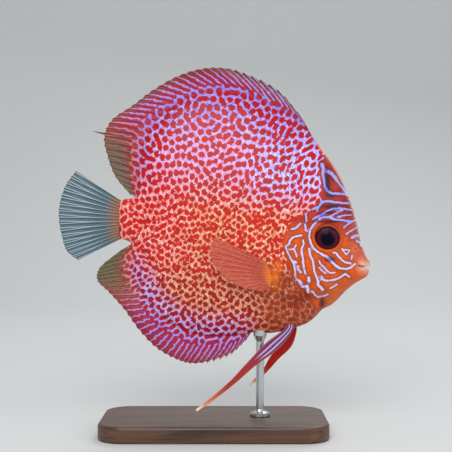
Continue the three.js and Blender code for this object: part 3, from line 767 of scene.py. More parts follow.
@dataclass(frozen=True)
class LivingSkin:
    """Wet fish skin under clear mucus: spots over a pale ground, even gloss, fine texture."""

    name: str = "living_skin"
    soft_edge: float = 0.11
    fray: float = 0.2
    face_fray: float = 0.55
    glint_saturation: float = 0.62
    glint_value: float = 1.32
    roughness: float = 0.4

    def make(self) -> bpy.types.Material:
        """Builds the material."""
        graph = NodeGraph(self.name)
        place = graph.add("TexCoord", out="Object")
        colour = self.coloured(graph, place, self.height(graph, place))
        # Pores and scale edges: about 0.5 mm apart.
        pores = graph.add("TexNoise", {"Vector": place, "Scale": 1600.0, "Detail": 2.0})
        bump = graph.add("Bump", {"Height": pores, "Strength": 0.3, "Distance": 0.0001})
        return graph.finish(graph.add("BsdfPrincipled", {
            "Base Color": colour, "Roughness": self.roughness, "IOR": 1.38,
            "Specular IOR Level": 0.3, "Coat Weight": 0.12, "Coat Roughness": 0.16,
            "Normal": bump}))

    def height(self, graph: NodeGraph, place: bpy.types.NodeSocket) -> bpy.types.NodeSocket:
        """Joins the body's spots and the face's lines into one field, above 0 in the dark marks.

        Args:
            graph: The material in hand.
            place: The socket with the place on the fish.

        Returns:
            The socket with the field.
        """
        spot = graph.add("Attribute", out="Fac", attribute_name="spot")
        face = graph.add("Attribute", out="Fac", attribute_name="face")
        line = graph.add("Attribute", out="Vector", attribute_name="line")
        forward, up, far = graph.add("SeparateXYZ", {0: line}).node.outputs
        flat = graph.add("CombineXYZ", {0: forward, 1: up})
        across = graph.add("VectorMath", {0: flat}, "Value", operation="LENGTH")
        # Halfway between two lines their directions cancel, and there the plain distance counts.
        plain = graph.add("Math", {0: far, 1: -0.8}, operation="ADD")
        gap = graph.add("Math", {0: across, 1: plain}, operation="MAXIMUM")
        off_line = graph.add("Math", {0: gap, 1: 0.4, 2: -0.3}, operation="MULTIPLY_ADD")
        marks = graph.add("Mix", {0: face, 2: spot, 3: off_line})
        ragged = graph.add("TexNoise", {
            "Vector": place, "Scale": 800.0, "Detail": 2.0, "Roughness": 0.6})
        centred = graph.add("Math", {0: ragged, 1: 0.5}, operation="SUBTRACT")
        amount = graph.add("MapRange", {
            "Value": face, "To Min": self.fray, "To Max": self.face_fray})
        return graph.add("Math", {0: centred, 1: amount, 2: marks}, operation="MULTIPLY_ADD")

    def coloured(self, graph: NodeGraph, place: bpy.types.NodeSocket,
                 height: bpy.types.NodeSocket) -> bpy.types.NodeSocket:
        """Colours the dark marks and the pale ground between them.

        Args:
            graph: The material in hand.
            place: The socket with the place on the fish.
            height: The socket with the field of the marks.

        Returns:
            The socket with the colour.
        """
        mark = graph.add("Attribute", out="Color", attribute_name="mark")
        ground = graph.add("Attribute", out="Color", attribute_name="ground")
        face = graph.add("Attribute", out="Fac", attribute_name="face")
        inside = graph.add("MapRange", {
            "Value": height, "From Min": -self.soft_edge, "From Max": self.soft_edge},
            interpolation_type="SMOOTHSTEP")
        # Neighbouring spots differ a little in depth of colour.
        drift = graph.add("TexNoise", {
            "Vector": place, "Scale": 190.0, "Detail": 3.0, "Roughness": 0.7})
        depth = graph.add("MapRange", {
            "Value": drift, "From Min": 0.3, "From Max": 0.7, "To Min": 0.78, "To Max": 1.22})
        toned = graph.add("HueSaturation", {"Color": mark, "Value": depth})
        # On the face the orange is painted darker close to each pale line, as shade along the
        # lines.
        line_shade = graph.add("MapRange", {
            "Value": height, "From Min": 0.1, "From Max": 0.75, "To Min": 0.55, "To Max": 1.0})
        toned = graph.add("HueSaturation", {
            "Color": toned, "Value": graph.add("Mix", {0: face, 2: 1.0, 3: line_shade})})
        # Painted glints: the ground is lightened in short upright strokes, about 0.6 mm wide and 2
        # mm tall.
        upright = graph.add("Mapping", {"Vector": place, "Scale": (1500.0, 1500.0, 520.0)})
        strokes = graph.add("TexNoise", {"Vector": upright, "Scale": 1.0, "Detail": 1.0})
        glint = graph.add("MapRange", {"Value": strokes, "From Min": 0.46, "From Max": 0.68})
        bright = graph.add("HueSaturation", {
            "Color": ground, "Fac": glint, "Saturation": self.glint_saturation,
            "Value": self.glint_value})
        off_face = graph.add("Mix", {0: face, 6: bright, 7: ground}, 2, data_type="RGBA")
        return graph.add("Mix", {0: inside, 6: off_face, 7: toned}, 2, data_type="RGBA")


def clear_selection() -> None:
    """Leaves nothing selected, so that an operator acts only on the piece in hand."""
    if bpy.context.object and bpy.context.object.mode != "OBJECT":
        bpy.ops.object.mode_set(mode="OBJECT")
    bpy.ops.object.select_all(action="DESELECT")


def lying_globe(name: str, around: int, rings: int) -> bpy.types.Object:
    """Adds a globe of radius 1 with its poles to the sides, smooth, to be shaped further.

    Args:
        name: The piece's name.
        around: How many spokes it has.
        rings: How many rings it has.

    Returns:
        The globe.
    """
    clear_selection()
    bpy.ops.mesh.primitive_uv_sphere_add(
        segments=around, ring_count=rings, radius=1, rotation=(math.pi / 2, 0, 0))
    piece = bpy.context.object
    piece.name = piece.data.name = name
    bpy.ops.object.transform_apply(rotation=True)
    bpy.ops.object.shade_smooth()
    return piece


def read_points(mesh: bpy.types.Mesh) -> np.ndarray:
    """Reads the places of a mesh's points, one a row.

    Args:
        mesh: The mesh in hand.

    Returns:
        The places.
    """
    flat = np.zeros(len(mesh.vertices) * 3)
    mesh.vertices.foreach_get("co", flat)
    return flat.reshape(-1, 3)


def move_points(mesh: bpy.types.Mesh, points: np.ndarray) -> None:
    """Moves a mesh's points to new places."""
    mesh.vertices.foreach_set("co", points.ravel().astype(np.float32))
    mesh.update()


def face_outwards(piece: bpy.types.Object) -> None:
    """Turns every face of a closed piece outwards.

    Args:
        piece: The piece in hand.
    """
    clear_selection()
    piece.select_set(True)
    bpy.context.view_layer.objects.active = piece
    bpy.ops.object.mode_set(mode="EDIT")
    bpy.ops.mesh.select_all(action="SELECT")
    bpy.ops.mesh.normals_make_consistent(inside=False)
    bpy.ops.object.mode_set(mode="OBJECT")


def write_values(mesh: bpy.types.Mesh, values: dict[str, np.ndarray]) -> None:
    """Stores values on a mesh's points, each under its own name, a number or three for each.

    Args:
        mesh: The mesh in hand.
        values: One value, or three, for each point, by name.
    """
    for name, value in values.items():
        value = np.asarray(value, np.float32)
        kind, key = ("FLOAT", "value") if value.ndim == 1 else ("FLOAT_VECTOR", "vector")
        mesh.attributes.new(name, kind, "POINT").data.foreach_set(key, value.ravel())


def dress(piece: bpy.types.Object, material: bpy.types.Material) -> None:
    """Gives a piece its material and its body.

    Args:
        piece: The piece in hand.
        material: The piece's finish.
    """
    piece.data.materials.clear()
    piece.data.materials.append(material)
    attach(piece, "root")
    LOG.info("%s: %d faces", piece.name, len(piece.data.polygons))


def piece_from(name: str, points: np.ndarray, faces: np.ndarray) -> bpy.types.Object:
    """Makes a smooth object in the scene, for forms that no primitive gives.

    Args:
        name: The piece's name.
        points: The vertices, in metres.
        faces: The faces' vertex numbers.

    Returns:
        The object.
    """
    mesh = bpy.data.meshes.new(name)
    mesh.from_pydata(points.tolist(), [], faces.tolist())
    mesh.polygons.foreach_set("use_smooth", np.ones(len(mesh.polygons), bool))
    mesh.update()
    made = bpy.data.objects.new(name, mesh)
    bpy.context.scene.collection.objects.link(made)
    return made


@dataclass
class Skin:
    """One skin over head, jaw, gill covers, trunk and tail root."""

    form: BodyForm
    markings: Markings
    around: int = 440
    rings: int = 220
    # How much closer the spokes stand along the face, and again at the lips.
    face_density: float = 1.5
    lip_density: float = 4.0
    # How fast the rings close up towards the rim.
    crowding: float = 1.45
    # The corner of the mouth line in the rim: its height, its half height and how deep it cuts.
    slit: tuple[float, float, float] = (-21.2, 0.55, 4.0)

    def rim_places(self) -> np.ndarray:
        """Gives where the spokes meet the rim, closer together along the face."""
        rim = np.concatenate([self.form.rim, self.form.rim[:1]])
        steps = np.linalg.norm(np.diff(rim, axis=0), axis=1)
        middle = (rim[1:] + rim[:-1]) / 2
        weight = 1 + self.face_density * smoothstep(38, 56, middle[:, 0])
        weight += self.lip_density * smoothstep(69, 73, middle[:, 0])
        total = np.concatenate([[0], np.cumsum(steps * weight)])
        wanted = np.linspace(0, total[-1], self.around, endpoint=False)
        return np.stack([np.interp(wanted, total, rim[:, k]) for k in range(2)], 1)

    def build(self) -> bpy.types.Object:
        """Shapes a globe, poles to the sides, into the fish's skin."""
        piece = lying_globe("skin", self.around, self.rings)
        globe = read_points(piece.data)
        turn = np.arctan2(globe[:, 2], globe[:, 0]) / (2 * math.pi)
        spoke = np.round(turn * self.around).astype(int) % self.around
        climb = np.arccos(np.clip(np.abs(globe[:, 1]), 0, 1)) / (math.pi / 2)
        share = 1 - (1 - climb) ** self.crowding
        rim = self.rim_places()
        start = int(np.argmin(np.abs(np.arctan2(rim[:, 1] - POLE[1], rim[:, 0] - POLE[0]))))
        ends = np.roll(rim, -start, axis=0)[spoke]
        spots = POLE + (ends - POLE) * share[:, None]
        side = np.sign(globe[:, 1]) * (np.abs(globe[:, 1]) > 1e-6)
        height, thin, cut = self.slit
        pull = swell(spots[:, 1], thin, height) * smoothstep(71, 74.5, spots[:, 0])
        across = self.form.half(spots, share, -COAT_DEPTH) * side * (share < 0.99999)
        move_points(piece.data, to_model(
            spots[:, 0] - cut * pull * share ** 8, across, spots[:, 1]))
        write_values(piece.data, self.markings.paint(spots, share))
        face_outwards(piece)
        return piece


@dataclass
class Eyes:
    """The two eyeballs, each a flat globe with a bulging clear front."""

    form: BodyForm
    bulge: float = 3.2
    lens_bulge: float = 0.35
    sunk: float = 1.2
    clearance: float = 0.08

    def build(self, side: int) -> bpy.types.Object:
        """Shapes one eye from a globe; side is 1 for the left and -1 for the right.

        Args:
            side: 1 for the left and -1 for the right.

        Returns:
            The eye.
        """
        piece = lying_globe("eye_ball_left" if side > 0 else "eye_ball_right", 64, 40)
        half = float(self.form.lens(EYE_AT[None, :])[0]) + RIM_HALF - self.sunk
        globe = read_points(piece.data)
        out = globe[:, 1] * side
        radius = np.hypot(globe[:, 0], globe[:, 2])
        bulge = self.bulge * out + self.lens_bulge * smoothstep(0.62, 0.2, radius) * (out > 0)
        wide = EYE_RADIUS - self.clearance
        move_points(piece.data, to_model(
            EYE_AT[0] + globe[:, 0] * wide, side * (half + bulge), EYE_AT[1] + globe[:, 2] * wide))
        return piece


@dataclass(frozen=True)
class WetEye:
    """A fish's eye under its clear cornea: dark red iris, near-black pupil, thin orange rim."""

    name: str = "wet_eye"
    pupil_at: tuple[float, float] = (52.5, -6.7)
    stops: tuple[tuple[float, str], ...] = (
        (0.0, "#010108"), (0.34, "#03031a"), (0.38, "#10051a"), (0.45, "#340c20"),
        (0.58, "#541626"), (0.70, "#300a18"), (0.765, "#140610"), (0.79, "#a4604e"),
        (0.83, "#b04a1c"))

    def make(self) -> bpy.types.Material:
        """Builds the material."""
        graph = NodeGraph(self.name)
        place = graph.add("TexCoord", out="Object")
        centre = ((self.pupil_at[0] + FISH_FORWARD) * MM, 0, (self.pupil_at[1] + MIDDLE_Z) * MM)
        arm = graph.add("VectorMath", {0: place, 1: centre}, operation="SUBTRACT")
        flat = graph.add("VectorMath", {0: arm, 1: (1000.0, 0.0, 1000.0)}, operation="MULTIPLY")
        reach = graph.add("VectorMath", {0: flat}, "Value", operation="LENGTH")
        streaks = graph.add("TexNoise", {"Vector": flat, "Scale": 0.8, "Detail": 4.0})
        wander = graph.add("Math", {0: streaks, 1: 0.9, 2: reach}, operation="MULTIPLY_ADD")
        share = graph.add("MapRange", {"Value": wander, "From Min": 0.45, "From Max": 8.45})
        ramp = graph.add("ValToRGB", {"Fac": share})
        set_stops(ramp, self.stops)
        return graph.finish(graph.add("BsdfPrincipled", {
            "Base Color": ramp, "Roughness": 0.4, "IOR": 1.33, "Specular IOR Level": 0.08,
            "Coat Weight": 0.14, "Coat IOR": 1.33, "Coat Roughness": 0.03}))


@dataclass
class RayedFin:
    """A fin whose rays fan out from root points to tip points, ridged in both faces."""

    name: str
    replaced: tuple[str, ...]
    roots: np.ndarray
    tips: np.ndarray
    spines: int
    rays: int
    bow: float
    inset: float = 1.6
    spine_poke: float = 1.6
    ray_poke: float = 0.4
    notch: float = 0.9
    web_half: tuple[float, float] = (0.24, 0.10)
    ray_half: tuple[float, float] = (0.62, 0.20)
    columns_each: int = 12
    rows: int = 30
    sway: tuple[float, float] = (1.1, 5.0)
    forked: bool = True
    # The ray that grows out as a thread, and by how many millimetres.
    tall_ray: int = -1
    tall_reach: float = 6.2
    cover: float = 0.55
    spots_end: tuple[float, float] = (0.24, 0.5)
    colour_end: tuple[float, float] = (0.0, 0.4)
    body_foot: bool = False

    @property
    def count(self) -> int:
        """The number of spines and rays."""
        return self.spines + self.rays

    def rays_place(self, u: np.ndarray) -> np.ndarray:
        """Turns a share of the fin's root into a count of rays from the front."""
        return u * (self.count - 1)

    def reach_beyond(self, place: np.ndarray) -> np.ndarray:
        """Gives how far the margin runs past the drawn edge at a ray count, in millimetres.

        Args:
            place: A count of rays from the front.

        Returns:
            The reach at each count.
        """
        off = np.abs(place - np.round(place))
        spiny = 1 - smoothstep(self.spines - 1.2, self.spines - 0.2, place)
        poke = self.ray_poke + (self.spine_poke - self.ray_poke) * spiny
        sharp = swell(off, 0.10)
        dip = smoothstep(0.08, 0.5, off) * self.notch * (0.25 + 0.75 * spiny)
        tall = swell(place, 0.12, self.tall_ray) * (self.tall_ray >= 0)
        return poke * sharp - dip + self.tall_reach * tall

    def spots(self, u: np.ndarray, t: np.ndarray) -> np.ndarray:
        """Gives the side-view place at a share along the root and a share out along the rays.

        Args:
            u: The share along the root.
            t: The share out along the rays.

        Returns:
            Forward and up for each point.
        """
        start, end = curve_at(self.roots, u), curve_at(self.tips, u)
        run = end - start
        length = np.linalg.norm(run, axis=1, keepdims=True)
        heading = run / length
        across = np.stack([-heading[:, 1], heading[:, 0]], 1)
        start = start - heading * self.inset
        end = end + heading * self.reach_beyond(self.rays_place(u))[:, None]
        middle = (start + end) / 2 + across * self.bow * length
        t = t[:, None]
        return (1 - t) ** 2 * start + 2 * t * (1 - t) * middle + t ** 2 * end

    def centre(self, u: np.ndarray, t: np.ndarray) -> np.ndarray:
        """Gives how far the fin's mid plane sways to the side, in millimetres.

        Args:
            u: The share along the root.
            t: The share out along the rays.

        Returns:
            The sway at each point.
        """
        height, waves = self.sway
        pucker = 0.10 * np.sin(2 * math.pi * self.rays_place(u)) * t
        return height * t ** 2 * np.sin(u * math.pi * waves) + pucker

    def softness(self, place: np.ndarray) -> np.ndarray:
        """Gives 1 on a soft, forking ray and 0 on a spine."""
        return smoothstep(self.spines - 0.6, self.spines - 0.4, place) * self.forked

    def fork(self, place: np.ndarray, t: np.ndarray) -> np.ndarray:
        """Gives how far the arms of a forked ray stand apart, in ray spacings."""
        return 0.18 * smoothstep(0.35, 0.95, t) * self.softness(place)

    def half(self, place: np.ndarray, t: np.ndarray) -> np.ndarray:
        """Gives half the fin's thickness, with each ray raised and forked towards its tip.

        Args:
            place: A count of rays from the front.
            t: The share out along the rays.

        Returns:
            The half thickness.
        """
        off = place - np.round(place)
        soft = self.softness(place)
        split = self.fork(place, t)
        fine = 0.13 - 0.05 * t * soft
        ridge = swell(np.abs(off), fine, split)
        beads = 1 - 0.18 * soft * (0.5 + 0.5 * np.sin(t * 150)) * smoothstep(0.2, 0.4, t)
        web = self.web_half[0] + (self.web_half[1] - self.web_half[0]) * t
        ray = self.ray_half[0] + (self.ray_half[1] - self.ray_half[0]) * t
        return web + (ray - web) * ridge * beads

    def web(self, u: np.ndarray, t: np.ndarray) -> tuple[np.ndarray | float, ...]:
        """Gives the web's colours and measures.

        Args:
            u: The share along the root.
            t: The share out along the rays.

        Returns:
            The colours of the bars, the lines and the bones, then the lines' half width, how
            solid the web is, and the bones' half width, both widths in ray spacings.
        """
        raise NotImplementedError

    def values(self, u: np.ndarray, t: np.ndarray, spots: np.ndarray,
               markings: Markings) -> dict[str, np.ndarray]:
        """Gives what the fin's shader needs at each point.

        Args:
            u: The share along the root.
            t: The share out along the rays.
            spots: Places in the side view.
            markings: The skin's markings.

        Returns:
            The named values. With body_foot, the body's colours run out into the fin's foot.
        """
        place = self.rays_place(u)
        bar, stripe, bone, *measures = self.web(u, t)
        if self.body_foot:
            body = markings.paint(spots, np.ones(len(spots)))
            foot = 1 - smoothstep(*self.colour_end, t)
            bar, stripe = blend(bar, body["mark"], foot), blend(stripe, body["ground"], foot)
        return {"ray": np.stack([place, t, self.fork(place, t)], 1),
                "spot": markings.spots.read(markings.cells(spots), self.cover),
                "spotty": 1 - smoothstep(*self.spots_end, t), "bar": bar, "stripe": stripe,
                "bone": bone, "measure": np.stack(np.broadcast_arrays(*measures), 1)}

    def build(self, markings: Markings) -> bpy.types.Object:
        """Joins two ridged faces and their rim into one closed fin.

        Args:
            markings: The skin's markings.

        Returns:
            The fin.
        """
        across = (self.count - 1) * self.columns_each + 1
        u, t = np.meshgrid(np.linspace(0, 1, across),
                           np.linspace(0, 1, self.rows + 1) ** 0.9, indexing="ij")
        u, t = u.ravel(), t.ravel()
        spots = self.spots(u, t)
        centre, half = self.centre(u, t), self.half(self.rays_place(u), t)
        faces = [to_model(spots[:, 0], centre + side * half, spots[:, 1]) for side in (1, -1)]
        total = len(u)
        number = np.arange(total).reshape(across, self.rows + 1)
        a, b = number[:-1, :-1].ravel(), number[1:, :-1].ravel()
        c, d = number[1:, 1:].ravel(), number[:-1, 1:].ravel()
        rim = np.concatenate([number[:, 0], number[-1, 1:], number[-2::-1, -1],
                              number[0, -2:0:-1]])
        after = np.roll(rim, -1)
        quads = np.concatenate([
            np.stack([a, b, c, d], 1), np.stack([a, d, c, b], 1) + total,
            np.stack([rim, rim + total, after + total, after], 1)])
        piece = piece_from(self.name, np.concatenate(faces), quads)
        values = self.values(u, t, spots, markings)
        write_values(piece.data, {k: np.concatenate([v, v]) for k, v in values.items()})
        face_outwards(piece)
        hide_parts(*self.replaced)
        return piece


@dataclass(frozen=True)
class FinWeb:
    """Living fin skin between bony rays: coloured bars, pale lines along the rays, clear edge."""

    name: str

    def make(self) -> bpy.types.Material:
        """Builds the material."""
        graph = NodeGraph(self.name)
        ray = graph.add("Attribute", out="Vector", attribute_name="ray")
        measure = graph.add("Attribute", out="Vector", attribute_name="measure")
        bar, stripe, bone_colour = (graph.add("Attribute", out="Color", attribute_name=name)
                                    for name in ("bar", "stripe", "bone"))
        place, _, fork = graph.add("SeparateXYZ", {0: ray}).node.outputs
        width, cover, bone_width = graph.add("SeparateXYZ", {0: measure}).node.outputs
        long_waves = graph.add("VectorMath", {0: ray, 1: (0.8, 9.0, 0.0)}, operation="MULTIPLY")
        wobble = graph.add("TexNoise", {"Vector": long_waves, "Scale": 1.0, "Detail": 2.0})
        shifted = graph.add("Math", {0: wobble, 1: 0.75, 2: place}, operation="MULTIPLY_ADD")
        between = graph.add("Math", {0: shifted, 1: 0.5}, operation="PINGPONG")
        inside = graph.add("Math", {0: between, 1: width}, operation="SUBTRACT")
        # Bars and spots are one field, so that one runs into the other.
        marks = graph.add("Mix", {
            0: graph.add("Attribute", out="Fac", attribute_name="spotty"),
            2: graph.add("Math", {0: inside, 1: 3.0}, operation="MULTIPLY"),
            3: graph.add("Attribute", out="Fac", attribute_name="spot")})
        line = graph.add("MapRange", {
            "Value": marks, "From Min": -0.14, "From Max": 0.14, "To Min": 1.0, "To Max": 0.0},
            interpolation_type="SMOOTHSTEP")
        colour = graph.add("Mix", {0: line, 6: bar, 7: stripe}, 2, data_type="RGBA")
        # A soft ray forks on its way out, so its bone is drawn at both arms of the fork.
        beside = graph.add("Math", {0: place, 1: 0.5}, operation="PINGPONG")
        arm = graph.add("Math", {0: beside, 1: fork}, operation="SUBTRACT")
        off = graph.add("Math", {
            0: graph.add("Math", {0: arm}, operation="ABSOLUTE"), 1: bone_width},
            operation="SUBTRACT")
        bone = graph.add("MapRange", {
            "Value": off, "From Min": -0.05, "From Max": 0.06, "To Min": 1.0, "To Max": 0.0},
            interpolation_type="SMOOTHSTEP")
        rayed = graph.add("Mix", {
            0: graph.add("Math", {0: bone, 1: 0.7}, operation="MULTIPLY"), 6: colour,
            7: bone_colour}, 2, data_type="RGBA")
        solid = graph.add("Math", {0: bone, 1: 0.35, 2: cover}, operation="MULTIPLY_ADD",
                          use_clamp=True)
        grain = graph.add("TexNoise", {
            "Vector": graph.add("TexCoord", out="Object"), "Scale": 1800.0, "Detail": 2.0})
        bump = graph.add("Bump", {"Height": grain, "Strength": 0.2, "Distance": 0.0001})
        return graph.finish(graph.add("BsdfPrincipled", {
            "Base Color": rayed, "Roughness": 0.38, "IOR": 1.4, "Alpha": solid,
            "Specular IOR Level": 0.3, "Coat Weight": 0.1, "Coat Roughness": 0.25,
            "Normal": bump}))


@dataclass
class DorsalFin(RayedFin):
    """The long fin over the back: red bars and lavender lines, paler and clearer behind."""

    body_foot: bool = True

    def web(self, u: np.ndarray, t: np.ndarray) -> tuple[np.ndarray | float, ...]:
        """Gives the web's colours and measures from front to back and from root to margin.

        Args:
            u: The share along the root.
            t: The share out along the rays.

        Returns:
            The three colours and the three measures, as the fin's own kind gives them.
        """
        rear = smoothstep(0.58, 0.8, u)
        outer = smoothstep(0.6, 0.95, t)
        veil = smoothstep(0.66, 0.82, u) * smoothstep(0.1, 0.7, t)
        front = 1 - smoothstep(0.12, 0.34, u)
        width = 0.145 * (1 - 0.7 * smoothstep(0.75, 1.0, t)) * (1 - 0.3 * rear) + 0.03 * front
        return (
            layered("#9c1030", ("#74141e", outer), ("#9c2018", rear), ("#503426", veil),
                    ("#3a0c16", 0.6 * front * outer)),
            layered("#9480dc", ("#a878a8", outer), ("#c47878", rear), ("#645040", veil),
                    ("#8894d8", front)),
            layered("#b0485a", ("#a88464", np.maximum(veil, 0.6 * outer)),
                    ("#e4d6c4", front * smoothstep(0.3, 0.8, t))),
            width, 1 - 0.24 * veil, 0.05 * veil + 0.03 * outer + 0.03 * front)


@dataclass
class AnalFin(RayedFin):
    """The fin under the tail: like the dorsal, with purple-red bars and an olive clear edge."""

    body_foot: bool = True

    def web(self, u: np.ndarray, t: np.ndarray) -> tuple[np.ndarray | float, ...]:
        """Gives the web's colours and measures from front to back and from root to margin.

        Args:
            u: The share along the root.
            t: The share out along the rays.

        Returns:
            The three colours and the three measures, as the fin's own kind gives them.
        """
        rear = smoothstep(0.55, 0.8, u)
        outer = smoothstep(0.55, 0.95, t)
        veil = smoothstep(0.62, 0.85, u) * smoothstep(0.1, 0.65, t)
        front = 1 - smoothstep(0.12, 0.3, u)
        pale = smoothstep(0.4, 0.9, t)
        width = 0.15 * (1 - 0.7 * smoothstep(0.75, 1.0, t)) * (1 - 0.3 * rear) + 0.04 * front
        return (
            layered("#a4163a", ("#8a1c34", outer), ("#a8382a", rear), ("#4a3c20", veil)),
            layered("#9c8ee6", ("#b088c0", outer), ("#d89088", rear), ("#685e3a", veil)),
            layered("#a8405c", ("#94835a", veil), ("#f0dcc0", front * pale)),
            width, 1 - 0.2 * veil, 0.05 * veil + 0.05 * front * pale)


@dataclass
class CaudalFin(RayedFin):
    """The tail fin: clear blue-grey skin on fine pale rays with orange feet."""

    spots_end: tuple[float, float] = (-1.0, 0.0)

    def web(self, u: np.ndarray, t: np.ndarray) -> tuple[np.ndarray | float, ...]:
        """Gives the clear web and the pale rays from root to margin.

        Args:
            u: The share along the root; not used here.
            t: The share out along the rays.

        Returns:
            The three colours and the three measures, as the fin's own kind gives them.
        """
        foot = 1 - smoothstep(0.04, 0.34, t)
        return (layered("#36505c", ("#84523a", foot)), layered("#526e7a", ("#a06c48", foot)),
                layered("#c4d6de", ("#e8b890", foot)), 0.1, 0.8 + 0.2 * foot, 0.055)


@dataclass
class PectoralFin(RayedFin):
    """The breathing fin on the flank: clear salmon skin on pale orange rays."""

    side: int = -1
    root_half: float = 13.6
    splay: float = 5.5
    spots_end: tuple[float, float] = (-1.0, 0.0)

    def centre(self, u: np.ndarray, t: np.ndarray) -> np.ndarray:
        """Gives how far the fin stands out from the body's middle, in millimetres."""
        cup = 0.5 * np.sin(math.pi * u) * t
        return self.side * (self.root_half + self.splay * t + cup)

    def web(self, u: np.ndarray, t: np.ndarray) -> tuple[np.ndarray | float, ...]:
        """Gives the clear web and the orange rays from root to margin.

        Args:
            u: The share along the root; not used here.
            t: The share out along the rays.

        Returns:
            The three colours and the three measures, as the fin's own kind gives them.
        """
        foot = 1 - smoothstep(0.06, 0.26, t)
        return (layered("#c85440", ("#dc7020", foot)), layered("#d4604c", ("#e88a3c", foot)),
                layered("#f0a890", ("#f4b070", foot)), 0.1, 0.5 + 0.5 * foot, 0.02)


@dataclass
class PelvicFin(RayedFin):
    """A long ribbon fin under the breast, between a front and a back edge."""

    side: int = -1
    spots_end: tuple[float, float] = (-1.0, 0.0)
    # Where the near fin's two blue stripes lie across it, and how wide they are.
    blue_at: tuple[float, float] = (0.3, 0.62)
    blue_width: float = 0.055

    def reach_beyond(self, place: np.ndarray) -> np.ndarray:
        """The ribbon ends where its edges end."""
        return np.zeros_like(place)

    def spots(self, u: np.ndarray, t: np.ndarray) -> np.ndarray:
        """Gives the place between the front edge, kept as roots, and the back edge, as tips."""
        return blend(curve_at(self.roots, t), curve_at(self.tips, t), u)

    def centre(self, u: np.ndarray, t: np.ndarray) -> np.ndarray:
        """Gives how far the ribbon is splayed to its side, in millimetres."""
        return self.side * (2 + 8 * t + (1 - t) * (1 - u))

    def web(self, u: np.ndarray, t: np.ndarray) -> tuple[np.ndarray | float, ...]:
        """Gives the red web, its blue stripes, its pale tip and a painted highlight along its
        edges.

        Args:
            u: The share along the root.
            t: The share out along the rays.

        Returns:
            The three colours and the three measures, as the fin's own kind gives them.
        """
        tip = smoothstep(0.66, 1.0, t)
        near = self.side < 0
        foot, shaft = ("#6c1248", "#a01a16") if near else ("#b00606", "#c41806")
        stripes = sum(swell(u, self.blue_width, at) for at in self.blue_at)
        blue = (1 - smoothstep(0.40, 0.47, t)) * near * np.minimum(stripes * 1.3, 1)
        # A painted highlight along the ribbon's front and back edges.
        edge = smoothstep(0.86, 1.0, u) + smoothstep(0.14, 0.0, u)
        bar = layered(foot, (shaft, smoothstep(0.3, 0.6, t)), ("#e88858", tip),
                      ("#fff0dc", smoothstep(0.9, 1.0, t)), ("#b4baf8", blue),
                      ("#d87060", 0.35 * np.clip(edge, 0, 1)))
        stripe = blend(bar, linear("#d86050"), np.full(len(u), 0.25))
        bone = blend(bar, linear("#ffd8b0"), smoothstep(0.75, 1.0, t))
        return bar, stripe, bone, 0.1, 1.0, 0.1 * tip


